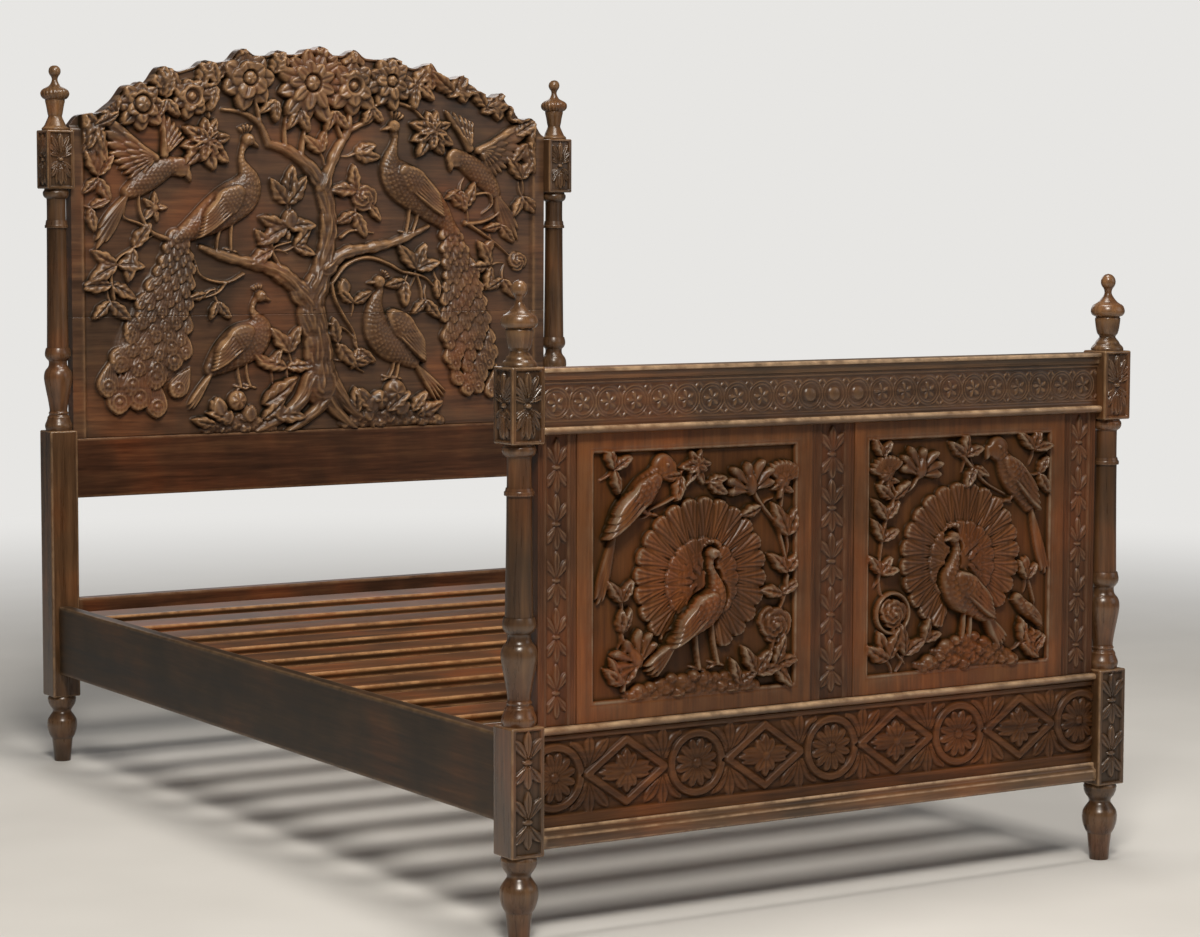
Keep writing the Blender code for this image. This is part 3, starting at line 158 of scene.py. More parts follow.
def spread(tree, value, to_low, to_high, from_low=0.0, from_high=1.0, interpolation="LINEAR"):
    """Spread a value from one range over another."""
    inputs = {"Value": value, "From Min": from_low, "From Max": from_high,
              "To Min": to_low, "To Max": to_high}
    return node(tree, "ShaderNodeMapRange", inputs, interpolation_type=interpolation), "Result"


def ramp(tree, value, stops):
    """Turn a value into a colour by (place, colour) stops."""
    made = node(tree, "ShaderNodeValToRGB", {"Fac": value})
    band = made.color_ramp
    while len(band.elements) < len(stops):
        band.elements.new(0.5)
    for element, (place, colour) in zip(band.elements, stops):
        element.position = place
        element.color = (*colour, 1.0)
    return made, "Color"


def new_material(name):
    """A material, its nodes and its main shader."""
    material = bpy.data.materials.new(name)
    material.use_nodes = True
    return material, material.node_tree, material.node_tree.nodes["Principled BSDF"]


def wood(name, deep, body, bright, worn_and_highlit, along, roughness, shine=0.36, clouded=1.0):
    """Polished wood: streaks along one axis, clouds of colour, recesses painted dark as shade and dirt,
    and patchy high spots painted pale as wear and highlight.

    deep, body and bright colour the grain, and the fourth colour the rubbed spots and painted highlights;
    clouded is how far the colour drifts.
    """
    black, white = (0.0, 0.0, 0.0), (1.0, 1.0, 1.0)
    material, tree, shader = new_material(name)
    places = node(tree, "ShaderNodeTexCoord"), "Object"
    stretch = [0.06 if axis == along else 1.0 for axis in "XYZ"]
    drawn_out = node(tree, "ShaderNodeMapping", {"Vector": places, "Scale": stretch}), "Vector"
    figure = noise(tree, drawn_out, 26.0, 4.0, roughness=0.55, distortion=1.6)
    streaks = noise(tree, drawn_out, 150.0, 8.0, roughness=0.62, distortion=0.4)
    grain = mix(tree, 0.45, figure, streaks, "FLOAT")
    grain_colour = ramp(tree, grain, [(0.32, deep), (0.50, body), (0.66, bright)])
    dull = [1.0 - clouded * share for share in (0.38, 0.32, 0.28)]
    warm = [1.0 + clouded * share for share in (0.55, 0.22, -0.02)]
    clouds = ramp(tree, noise(tree, places, 5.5, 3.0), [(0.34, dull), (0.50, white), (0.66, warm)])
    tinted = mix(tree, 1.0, grain_colour, clouds, blend_type="MULTIPLY")

    # Painted shade and highlight with real dirt and wear: the mask is low in recesses and high on raised
    # edges
    exposed = node(tree, "ShaderNodeAttribute", attribute_name="wear_and_painted_light"), "Fac"
    clean_and_unshaded = ramp(tree, exposed, [(0.02, black), (0.45, white)])
    rubbed_and_highlit = ramp(tree, exposed, [(0.52, black), (0.90, white)])
    patchy = spread(tree, noise(tree, places, 34.0, 5.0, roughness=0.6), 0.30, 1.0, 0.36, 0.62)
    # The recess colour is painted shade as well as dirt
    recess = [share * value for share, value in zip((0.34, 0.48, 0.40), deep)]
    shaded = mix(tree, clean_and_unshaded, (*recess, 1.0), tinted)
    gloss = spread(tree, grain, roughness - 0.09, roughness + 0.13)
    bump = node(tree, "ShaderNodeBump", {"Strength": 0.35, "Distance": 0.0008, "Height": grain})
    # High spots take the pale colour: wear and painted highlight
    connect(tree, shader, {
        "Base Color": mix(tree, maths(tree, "MULTIPLY", rubbed_and_highlit, patchy), shaded, (*worn_and_highlit, 1.0)),
        "Roughness": maths(tree, "MULTIPLY_ADD", rubbed_and_highlit, -0.08, gloss),
        "Specular IOR Level": maths(tree, "MULTIPLY_ADD", clean_and_unshaded, shine, 0.04),
        "Coat Weight": maths(tree, "MULTIPLY", clean_and_unshaded, shine * 0.28),
        "Coat Roughness": 0.28,
        "Normal": (bump, "Normal"),
    })
    return material


def iron(name):
    """Dark iron with a mottled skin."""
    material, tree, shader = new_material(name)
    mottle = noise(tree, (node(tree, "ShaderNodeTexCoord"), "Object"), 240.0, 6.0)
    connect(tree, shader, {
        "Metallic": 0.9,
        "Base Color": ramp(tree, mottle, [(0.35, (0.030, 0.022, 0.018)), (0.65, (0.13, 0.12, 0.115))]),
        "Roughness": spread(tree, mottle, 0.4, 0.75),
    })
    return material


carved_x = wood("carved_walnut_across", (0.034, 0.016, 0.008), (0.084, 0.040, 0.020), (0.134, 0.066, 0.030),
                (0.310, 0.176, 0.084), "X", 0.33)
red_x = wood("red_walnut_across", (0.022, 0.008, 0.003), (0.066, 0.024, 0.010), (0.112, 0.046, 0.018),
             (0.170, 0.090, 0.045), "X", 0.37, shine=0.18)
red_z = wood("red_walnut_upright", (0.034, 0.012, 0.004), (0.078, 0.029, 0.011), (0.126, 0.050, 0.019),
             (0.190, 0.112, 0.062), "Z", 0.36, shine=0.24, clouded=0.7)
rail_y = wood("side_rail_walnut", (0.014, 0.008, 0.004), (0.038, 0.021, 0.010), (0.066, 0.038, 0.018),
              (0.140, 0.086, 0.045), "Y", 0.44, shine=0.18)
# The slats' rubbed colour is pale: painted highlight along their rounded edges, as well as wear
slat_x = wood("slat_wood", (0.048, 0.016, 0.005), (0.122, 0.046, 0.015), (0.200, 0.084, 0.031),
              (0.450, 0.240, 0.105), "X", 0.34, shine=0.22)
panel_z = wood("panel_walnut", (0.066, 0.023, 0.007), (0.122, 0.041, 0.011), (0.182, 0.066, 0.018),
               (0.215, 0.145, 0.092), "Z", 0.34, shine=0.26, clouded=0.6)
post_z = wood("post_walnut", (0.030, 0.013, 0.005), (0.080, 0.037, 0.015), (0.134, 0.066, 0.028),
              (0.270, 0.160, 0.080), "Z", 0.27, shine=0.50)
# The finials' wood is a paler copy of the posts': painted light, as if the finials were more lit
lit_finial_z = wood("lit_finial_walnut", (0.046, 0.022, 0.009), (0.125, 0.062, 0.026), (0.205, 0.108, 0.046),
                (0.400, 0.245, 0.125), "Z", 0.25, shine=0.46)
band_x = wood("band_walnut", (0.030, 0.011, 0.004), (0.084, 0.031, 0.010), (0.135, 0.054, 0.018),
              (0.165, 0.092, 0.048), "X", 0.36, shine=0.18, clouded=0.7)
# The mouldings' rubbed colour is very pale: painted highlight along their edges, as well as wear
moulding_x = wood("moulding_walnut", (0.040, 0.018, 0.008), (0.094, 0.046, 0.021), (0.150, 0.082, 0.040),
                  (0.500, 0.335, 0.200), "X", 0.30)
iron_finish = iron("bed_iron")


# Carving: heights over a fine grid of places on a face, worked by tools that raise it or cut it back


def ease(share):
    """A smooth step from 0 to 1."""
    share = np.clip(share, 0.0, 1.0)
    return share * share * (3.0 - 2.0 * share)


def soften(values, reach):
    """Blur a grid by a box of the given reach in cells, twice each way."""
    for axis in (0, 1, 0, 1):
        width = [(reach + 1, reach) if side == axis else (0, 0) for side in (0, 1)]
        total = np.cumsum(np.pad(values, width, mode="edge"), axis=axis)
        count = values.shape[axis]
        upper = np.take(total, np.arange(2 * reach + 1, 2 * reach + 1 + count), axis=axis)
        lower = np.take(total, np.arange(0, count), axis=axis)
        values = (upper - lower) / (2 * reach + 1)
    return values


def place_from(x, y, angle, reach):
    """The place at a distance from another along an angle in degrees."""
    turn = math.radians(angle)
    return x + reach * math.cos(turn), y + reach * math.sin(turn)


class Relief:
    """A carved face: heights over places across (x) and up (y) it, and a tone by which its colour is
    painted paler (a painted highlight on the crest) and darker (duller carved fields).

    Its top is a level or a function of x. Rows run level up to the hem, a smooth line under the top, and
    close up over it to follow the top's outline.
    """

    def __init__(self, left, right, bottom, top, cell, hem_at=None):
        self.cell = cell
        self.left = left
        self.columns = round((right - left) / cell)
        self.step = (right - left) / self.columns
        across = np.linspace(left, right, self.columns + 1)
        self.tops = top(across) if callable(top) else np.full(across.shape, float(top))
        hem = hem_at(across) if hem_at else self.tops
        self.rows = round((hem.max() - bottom) / cell)
        share = np.linspace(0.0, 1.0, self.rows + 1)[:, None]
        self.y = bottom + share * (hem - bottom)
        if hem_at:
            over = round((self.tops - hem).max() / cell)
            share = np.linspace(0.0, 1.0, over + 1)[1:, None]
            self.y = np.vstack([self.y, hem + share * (self.tops - hem)])
            self.rows += over
        self.x = np.tile(across, (self.rows + 1, 1))
        self.height = np.zeros_like(self.x)
        self.tone = np.zeros_like(self.x)

    def window(self, x_low, x_high, y_low, y_high):
        """The part of the grid that holds a box of places; it is empty if the box lies beside the grid."""
        first = max(0, int((x_low - self.left) / self.step))
        last = min(self.columns + 1, int((x_high - self.left) / self.step) + 2)
        rows = np.zeros(0, int)
        if first < last:
            part = self.y[:, first:last]
            rows = np.nonzero((part.max(axis=1) >= y_low) & (part.min(axis=1) <= y_high))[0]
        if rows.size == 0:
            return slice(0, 0), slice(0, 0)
        return slice(rows[0], rows[-1] + 1), slice(first, last)

    def around(self, x, y, reach):
        """The part of the grid round a place, and how far across and up from it each of its points is."""
        part = self.window(x - reach, x + reach, y - reach, y + reach)
        return part, self.x[part] - x, self.y[part] - y

    def raise_to(self, part, heights):
        """Raise a part of the grid where it lies lower than the heights."""
        self.height[part] = np.maximum(self.height[part], heights)


def curve_through(points, steps=8):
    """A smooth curve through points; every value of a point changes smoothly along it."""
    knots = np.array(points, float)
    knots = np.vstack([2 * knots[0] - knots[1], knots, 2 * knots[-1] - knots[-2]])
    share = np.linspace(0.0, 1.0, steps, endpoint=False)[:, None]
    runs = []
    for a, b, c, d in zip(knots, knots[1:], knots[2:], knots[3:]):
        runs.append(b + 0.5 * (c - a) * share + (a - 2.5 * b + 2 * c - 0.5 * d) * share ** 2
                    + (1.5 * (b - c) + 0.5 * (d - a)) * share ** 3)
    return np.vstack(runs + [knots[-2:-1]])


def bark(run, side, half):
    """Fine broken grooves along a branch."""
    drift = 1.3 * np.sin(run * 0.019) + 0.8 * np.sin(run * 0.047 + 2.0)
    deep = np.minimum(half * 0.07, 2.0)
    broken = 0.5 + 0.5 * np.sin(run * 0.070 + 6.0 * side)
    fine = np.sin(side * 21.0 + 2.1 * drift) * broken
    rings = np.sin(run * 0.120 + 3.0 * np.sin(side * 5.0))
    return deep * (0.7 * np.sin(side * 8.0 + drift) + fine + 0.5 * rings)


def barbs(run, side, half):
    """Fine barbs along a train."""
    return 1.1 * np.sin(2 * math.pi * side * half / 6.8 + 1.5 * np.sin(run * 0.055))


def scales(run, side, half):
    """Small rounded feathers in offset rows over a breast or back."""
    pitch = 9.2
    along = run / pitch
    row = np.floor(along)
    across = side * half / pitch + 0.5 * np.mod(row, 2.0)
    off = 2.0 * (across - np.floor(across)) - 1.0
    return 2.6 * ((along - row) * (1.0 - off ** 2) - 0.35)


def ridge(relief, points, height, texture=None, level=0.0, flat=False, knots=0.0):
    """A branch, neck, body, tail or strap: a ridge along points of x, y and width, rounded or flat on top.

    knots swells and thins it along its way.
    """
    path = curve_through(points)
    path[:, 2] = np.maximum(path[:, 2], 1.0)
    along = np.concatenate([[0.0], np.cumsum(np.hypot(np.diff(path[:, 0]), np.diff(path[:, 1])))])
    path[:, 2] *= 1.0 + knots * (np.sin(along * 0.085 + points[0][0] * 0.070) + 0.7 * np.sin(along * 0.190))
    reach = path[:, 2].max() / 2
    low, high = path.min(axis=0) - reach, path.max(axis=0) + reach
    part = relief.window(low[0], high[0], low[1], high[1])
    x, y = relief.x[part], relief.y[part]
    near = np.full(x.shape, 9.0)
    run, side, half = np.zeros_like(x), np.zeros_like(x), np.ones_like(x)
    for (x0, y0, w0), (x1, y1, w1), start in zip(path, path[1:], along):
        run_x, run_y = x1 - x0, y1 - y0
        length = math.hypot(run_x, run_y) + 1e-6
        share = np.clip(((x - x0) * run_x + (y - y0) * run_y) / length ** 2, 0.0, 1.0)
        width = (w0 + share * (w1 - w0)) / 2
        away = np.hypot(x - x0 - share * run_x, y - y0 - share * run_y) / width
        turn = np.sign((y - y0) * run_x - (x - x0) * run_y)
        closer = away < near
        near = np.where(closer, away, near)
        run = np.where(closer, start + share * length, run)
        side = np.where(closer, turn * away, side)
        half = np.where(closer, width, half)
    if flat:
        crown, swell = ease((1.0 - near) * 2.5), 1.0
    else:
        crown, swell = np.sqrt(np.clip(1.0 - near ** 2, 0.0, None)), np.sqrt(half / reach)
    heights = level + height * swell * crown
    if texture:
        heights = heights + texture(run, side, half) * ease(2 * crown)
    relief.raise_to(part, heights * ease((1.0 - near) * half / relief.cell))


def blade(relief, x, y, length, width, angle, height, level=0.0, widest=0.45, blunt=1.0, rib=0.12, veins=0,
          teeth=0, bend=0.0, rise=0.0, cup=0.0, fold=0.0, tilt=0.0, lip=0.0, cut=0.08, rays=0):
    """A leaf, petal or feather that grows from a point along an angle in degrees.

    widest is where along it the blade is widest, blunt under 1 rounds its tip, teeth is its lobes on each
    side, rib sinks (or, below 0, raises) its middle, cup lifts its edges, fold rounds each half by itself,
    tilt lifts one half, lip and rise lift its tip, bend curves it sideways and cut is how deep its veins or
    rays are.
    """
    part, away_x, away_y = relief.around(x, y, length * (1 + abs(bend)) + width / 2)
    turn = math.radians(angle)
    u = (away_x * math.cos(turn) + away_y * math.sin(turn)) / length
    inside = np.clip(u, 0.0, 1.0)
    across = away_y * math.cos(turn) - away_x * math.sin(turn) - bend * length * inside ** 2
    power = math.log(0.5) / math.log(widest)
    outline = np.sin(math.pi * inside ** power) ** blunt
    if teeth:
        outline = outline * (0.84 + 0.18 * np.abs(np.sin(math.pi * teeth * inside ** 0.9)))
    half = width / 2 * outline + 1e-3
    v = np.clip(across / half, -1.0, 1.0)
    crown = (1 - cup) * np.sqrt(1.0 - v ** 2) + cup * np.abs(v) ** 1.5
    crown = (1 - fold) * crown + fold * np.sin(math.pi * np.abs(v) ** 0.8)
    surface = 0.46 + 0.54 * crown - rib * np.exp(-(across / (0.07 * width)) ** 2)
    if veins:
        surface = surface + cut * np.cos(2 * math.pi * (veins * inside - 0.9 * np.abs(v)))
    if rays:
        surface = surface + cut * np.cos(2 * math.pi * rays * across / (length * (0.3 + inside)))
    surface = surface * (1.0 - 0.25 * inside ** 2) + tilt * v + lip * ease((inside - 0.72) / 0.28)
    edge = ease((half - np.abs(across)) / (1.3 * relief.cell)) * (u > 0) * (u < 1)
    relief.raise_to(part, (level + rise * inside + height * surface) * edge)


def dome(relief, x, y, radius, height, level=0.0, flutes=0, flat=1.0):
    """A round boss, fluted if asked; flat over 1 makes it lie low and wide."""
    part, away_x, away_y = relief.around(x, y, radius)
    away_y = away_y * flat
    away = np.hypot(away_x, away_y) / radius
    surface = np.sqrt(np.clip(1.0 - away ** 2, 0.0, None))
    if flutes:
        surface = surface * (0.90 + 0.10 * np.cos(flutes * np.arctan2(away_y, away_x)))
    edge = ease((1.0 - away) * radius / (1.3 * relief.cell))
    relief.raise_to(part, (level + height * surface) * edge)


def ring(relief, x, y, radius, half_width, height, level=0.0):
    """A rounded round band."""
    part, away_x, away_y = relief.around(x, y, radius + half_width)
    away = np.abs(np.hypot(away_x, away_y) - radius) / half_width
    crown = np.sqrt(np.clip(1.0 - away ** 2, 0.0, None))
    edge = ease((1.0 - away) * half_width / relief.cell)
    relief.raise_to(part, (level + height * crown) * edge)


def strap_ring(relief, x, y, radius, half_width, height):
    """A flat round band with square sides."""
    part, away_x, away_y = relief.around(x, y, radius + half_width)
    away = np.abs(np.hypot(away_x, away_y) - radius)
    relief.raise_to(part, height * ease((half_width - away) / (1.4 * relief.cell)))


def cut_back(relief, x, y, radius, limit):
    """Sink what stands too high in a round place, so that it does not show through what comes there."""
    part, away_x, away_y = relief.around(x, y, radius)
    away = np.hypot(away_x, away_y) / radius
    behind = relief.height[part]
    sunk = np.minimum(behind, limit)
    relief.height[part] = sunk + (behind - sunk) * ease((away - 0.80) / 0.20)


# Plants


def leaf(relief, x, y, length, angle, height, level=0.0, bend=0.12, width=0.52):
    """A softly lobed leaf, sunk along its middle, with one half lifted over the other."""
    blade(relief, x, y, length, length * width, angle, height, level, widest=0.42, blunt=0.86, rib=0.30,
          veins=4, teeth=3, bend=bend, rise=height * 0.50, fold=0.30, tilt=math.copysign(0.36, bend))


def twig(relief, points, width, height):
    """A thin stem that tapers along points of x and y."""
    taper = 0.55 / (len(points) - 1)
    path = [(x, y, width * (1.0 - taper * index)) for index, (x, y) in enumerate(points)]
    ridge(relief, path, height, bark)


def twigs(relief, height, rows):
    """Twigs from rows of a width and the points along it."""
    for width, *points in rows:
        twig(relief, points, width, height)


def spray(relief, x, y, length, angles, height):
    """Leaves that fan out from the end of a short stalk; every other one bends the other way."""
    ahead_x = sum(math.cos(math.radians(angle)) for angle in angles)
    ahead_y = sum(math.sin(math.radians(angle)) for angle in angles)
    if math.hypot(ahead_x, ahead_y) > 0.3:
        back = math.degrees(math.atan2(-ahead_y, -ahead_x))
        bent = place_from(x, y, back + 11.46, 0.30 * length)
        twig(relief, [(x, y), bent, place_from(x, y, back, 0.65 * length)], 9, height * 0.6)
    for index, angle in enumerate(angles):
        leaf(relief, x, y, length * (1.12 if index % 2 else 1.0), angle, height, 1.5 * (index % 3),
             bend=0.15 if index % 2 else -0.15)


def sprays(relief, height, rows, growth=1.0):
    """Leaf sprays from rows of x, y, length and the leaves' angles."""
    for x, y, length, *angles in rows:
        spray(relief, x, y, growth * length, angles, height)


def daisy(relief, x, y, radius, petals, height, eye, hollow):
    """A flower of broad petals in two rows round a domed or hollow eye; the lower petals are longer."""
    cut_back(relief, x, y, 0.85 * radius, 0.10 * height)
    for row, (share, level) in enumerate(((1.0, 0.06), (0.68, 0.36))):
        count = petals - 2 * row
        wide = 2 * math.pi * 0.62 * radius * share / count * 1.30
        for index in range(count):
            angle = 360.0 * (index + 0.5 * row) / count
            hang = 1.0 - 0.12 * math.sin(math.radians(angle)) + 0.05 * math.sin(2.9 * index + row)
            blade(relief, x, y, radius * share * hang, wide, angle, height * 0.50,
                  height * (level + 0.10 * (index % 2)), widest=0.62, blunt=0.60, rib=0.20, fold=0.14,
                  rise=height * 0.22, tilt=0.26 * math.sin(2.1 * index + 1.0))
    cut_back(relief, x, y, radius * eye * 1.22, height * 0.60)
    if hollow:
        ring(relief, x, y, radius * eye, radius * 0.11, height * 0.30, height * 0.66)
        dome(relief, x, y, radius * eye * 0.55, height * 0.35, height * 0.54, flutes=4)
    else:
        dome(relief, x, y, radius * eye, height * 0.45, height * 0.66, flutes=5)


def bud(relief, x, y, radius, angle, height):
    """A round bud of folded petals that opens along an angle, held by small leaves at its foot."""
    foot_x, foot_y = place_from(x, y, angle, -radius)
    for lean in (-62, 62, 180):
        leaf(relief, foot_x, foot_y, radius * 1.35, angle + lean, height * 0.55, bend=0.2)
    for lean, share, level in ((-30, 0.92, 0.05), (30, 0.92, 0.10), (-8, 1.0, 0.22), (14, 0.86, 0.34)):
        blade(relief, foot_x, foot_y, 2.1 * radius * share, radius * 1.45, angle + lean, height * 0.62,
              height * level, widest=0.52, blunt=0.6, rib=0.0, bend=-lean / 110.0,
              tilt=math.copysign(0.22, lean))


def rose(relief, x, y, radius, height):
    """A rose: cupped petals in a spiral that close on a bud."""
    count = 15
    for index in range(count):
        share = 1.0 - 0.74 * (index / (count - 1)) ** 0.9
        blade(relief, x, y, radius * share, radius * share * 1.25, 137.5 * index, height * 0.46,
              height * 0.62 * (1.0 - share), widest=0.66, blunt=0.5, rib=0.0, cup=0.75, lip=0.30,
              rise=height * 0.12, tilt=0.18)
    dome(relief, x, y, radius * 0.18, height * 0.30, height * 0.74)


def ragged_flower(relief, x, y, radius, count, height, turn=0.0):
    """A flower of leaf-like petals in two rows."""
    for row, (share, level) in enumerate(((1.0, 0.05), (0.62, 0.34))):
        for index in range(count):
            angle = turn + 360.0 * (index + 0.5 * row) / count
            hang = 1.0 - 0.14 * math.sin(math.radians(angle)) + 0.08 * math.sin(2.9 * index)
            leaf(relief, x, y, radius * share * hang, angle, height * 0.60, height * level,
                 bend=0.16 * math.sin(2.3 * index + row) + 0.02, width=0.60)
    dome(relief, x, y, radius * 0.19, height * 0.5, height * 0.55, flutes=5)


def lily(relief, x, y, length, angle):
    """A lily seen from the side: ribbed petals that open from a bulb."""
    height = 13
    x, y = place_from(x, y, angle, -0.30 * length)
    for lean, share in ((-64, 0.95), (64, 0.95), (-44, 1.15), (44, 1.15), (-21, 1.22), (21, 1.22), (0, 1.10)):
        blade(relief, x, y, length * share, length * 0.40, angle + lean, height * 0.7, height * 0.05,
              widest=0.74, blunt=0.6, rib=0.0, bend=0.20 * np.sign(lean), rise=height * 0.45, lip=0.2, rays=4,
              cut=0.12)
    bulb = [(*place_from(x, y, angle, share * length), width)
            for share, width in ((0, 10), (0.25, 26), (0.55, 20))]
    ridge(relief, bulb, height, level=4)


def bell_flower(relief, x, y, length, angle):
    """A flower with a ruffled rim over a round cup."""
    height = 13
    for index in range(9):
        blade(relief, x, y, length, length * 0.26, angle + 13.0 * (index - 4), height * 0.75, height * 0.1,
              widest=0.78, blunt=0.6, rib=0.25, rise=height * 0.35, lip=0.2)
    dome(relief, *place_from(x, y, angle, 12), length * 0.40, height * 1.05, 2, flutes=7)
    spray(relief, x, y, length * 0.6, (angle + 120, angle - 120, angle + 180), height * 0.6)


def rocks(relief, left, right, level, height):
    """A heap of worn, rounded rocks, highest in its middle."""
    span = right - left
    ridge(relief, [(left, level - 6, 18), (left + 0.3 * span, level, 40), (left + 0.6 * span, level, 42),
                   (right, level - 8, 16)], height * 0.7)
    for row in range(2):
        for index in range(round(span / rock_pitch) - row):
            x = left + rock_pitch * (0.6 + index + 0.5 * row)
            swell = math.sin(math.pi * min(max((x - left) / span, 0.0), 1.0))
            y = level - 10 + swell * (6 + 18 * row + 5 * math.sin(2.7 * index))
            dome(relief, x, y, rock_pitch * (0.72 + 0.16 * math.sin(3.1 * index + row)),
                 height * (0.92 + 0.20 * math.sin(5.0 * index + 2.0 * row)), 2, flutes=3, flat=1.25)


# Birds


def fan(relief, x, y, angles, lengths, count, height, level):
    """Overlapping feathers that spread from one point; the first, the leading one, is the longest."""
    sweep = angles[1] - angles[0]
    for index in range(count):
        share = index / (count - 1)
        length = lengths[1] + (lengths[0] - lengths[1]) * (1.0 - share) ** 1.8
        wide = length * abs(math.radians(sweep)) / (count - 1)
        blade(relief, x, y, length, max(wide, 10), angles[0] + sweep * share, height, level, widest=0.72,
              blunt=0.5, rib=-0.15, rise=4, tilt=math.copysign(0.30, -sweep))


def eye_feather(relief, x, y, angle, size):
    """The end of a train feather at its tip's place: a barbed long lobe, with a ringed eye if it is large."""
    length = 1.55 * size
    level, height, rise = 3.0, 6.0, 9.5
    blade(relief, *place_from(x, y, angle, -length), length, size * 0.94, angle, height, level, widest=0.66,
          blunt=0.62, rib=0.0, rays=max(4, round(size / 5.2)), rise=rise, cut=0.22, tilt=0.14)
    if size >= 26:
        eye_x, eye_y = place_from(x, y, angle, -0.46 * size)
        over = level + height + 0.52 * rise
        ring(relief, eye_x, eye_y, size * 0.24, size * 0.060, 3.0, over)
        dome(relief, eye_x, eye_y, size * 0.12, 4.8, over - 0.6)


def train(relief, sections, size_top, size_bottom):
    """A hanging train over sections of middle x, height and width, from the top down.

    Fine barbs lie under rows of eye feathers, which follow the flow of the train and overlap the row below.
    """
    ridge(relief, sections[:-3], 10.5, barbs, flat=True)
    path = curve_through(sections, 12)
    top, bottom = path[0, 1], path[-1, 1]

    def width_at(y):
        return np.interp(-y, -path[:, 1], path[:, 2])

    def across_at(y, share):
        return np.interp(-y, -path[:, 1], path[:, 0]) + share * width_at(y) * 0.86

    place, number = bottom - 0.30 * size_bottom, 0
    while place < top - size_top:
        down = (top - place) / (top - bottom)
        size = size_top + (size_bottom - size_top) * min(1.0, down) ** 1.7
        gaps = max(1, round(width_at(place) / (size * 0.98)))
        shares = [(index + 0.5) / gaps - 0.5 for index in range(gaps)]
        if number % 2:
            shares = [index / gaps - 0.5 for index in range(gaps + 1)]
        for index, share in enumerate(shares):
            wander = math.sin(3.7 * number + 2.3 * index)
            y = place + 0.16 * size * wander
            x = across_at(y, share)
            flow = math.degrees(math.atan2(-30, x - across_at(y + 30, share)))
            eye_feather(relief, x, y, flow + 16.0 * share + 8.0 * wander, size * (1.0 + 0.09 * wander))
        place += size * 0.70
        number += 1


def folded_wing(relief, wing, height, level):
    """Long feathers from under a scaled shoulder to a wing's tip; wing is its root, tip and width."""
    root_x, root_y, tip_x, tip_y, width = wing
    run_x, run_y = tip_x - root_x, tip_y - root_y
    length = math.hypot(run_x, run_y)
    upper = 1.0 if run_x < 0 else -1.0

    def place_at(run, side):
        """The place at a share of the wing's length and a share of its width across it."""
        off = side * width * upper / length
        return root_x + run * run_x + off * run_y, root_y + run * run_y - off * run_x

    count = max(4, round(width / 9.5))
    for index in range(count):
        share = index / (count - 1) - 0.5
        x, y = place_at(0.15, 0.80 * share)
        end_x, end_y = place_at(1.0 - 0.30 * (share + 0.5), 0.45 * share)
        angle = math.degrees(math.atan2(end_y - y, end_x - x))
        blade(relief, x, y, math.hypot(end_x - x, end_y - y), 1.60 * width / count, angle, height * 0.42,
              level + height * 0.82, widest=0.62, blunt=0.55, rib=-0.10, tilt=0.55 * upper,
              rise=height * 0.12)
    scaled = [(*place_at(run, 0), width * wide) for run, wide in ((-0.06, 0.62), (0.18, 1.02), (0.42, 0.55))]
    ridge(relief, scaled, height * 0.46, scales, level=level + height * 0.84)


def bird(relief, height, body, wing, beak, legs, crest=None, tail=None, level=0.0, hook=0.0):
    """A perched bird: scaled head, neck and body, folded wing, beak and legs, and maybe a crest or a tail.

    beak and crest are a place, an angle and a length, and tail goes on with its feathers' count, spread and
    width. level lifts the bird over what lies behind it, which is cut back, and hook curves its beak.
    """
    if level:
        for x, y, width in body:
            cut_back(relief, x, y, 0.5 * width + 10, 0.5 * level)
    for leg in legs:
        ridge(relief, [(x, y, 9) for x, y in leg], height * 0.45, level=level * 0.5)
        for angle in (165, 205, 345):
            blade(relief, *leg[-1], 22, 8, angle, height * 0.4, rib=0.0)
    if tail:
        x, y, angle, length, count, turn, width = tail
        for index in range(count):
            share = index / (count - 1) - 0.5
            reach = length * (1.0 - 0.10 * abs(share))
            blade(relief, x, y, reach, width, angle + share * turn, height * 0.40, level + height * 0.15,
                  widest=0.60, blunt=0.5, rib=-0.20)
    if crest:
        x, y, angle, length = crest
        for lean in (-30, -10, 10, 30):
            blade(relief, x, y, length, length * 0.30, angle + lean, height * 0.5, level, widest=0.85,
                  blunt=0.5, rib=0.0)
    ridge(relief, body, height, scales, level=level)
    folded_wing(relief, wing, height, level)
    head_x, head_y, head_width = body[0]
    dome(relief, head_x, head_y, head_width * 0.56, height * 0.5, level + height * 0.35)
    x, y, angle, length = beak
    blade(relief, x, y, length, length * (0.42 + abs(hook)), angle, height * 0.45, level + height * 0.15,
          widest=0.25, rib=-0.1, bend=hook)
    dome(relief, head_x + 5 * math.cos(math.radians(angle)), head_y + 4, 4.4, 4, level + height * 0.84)


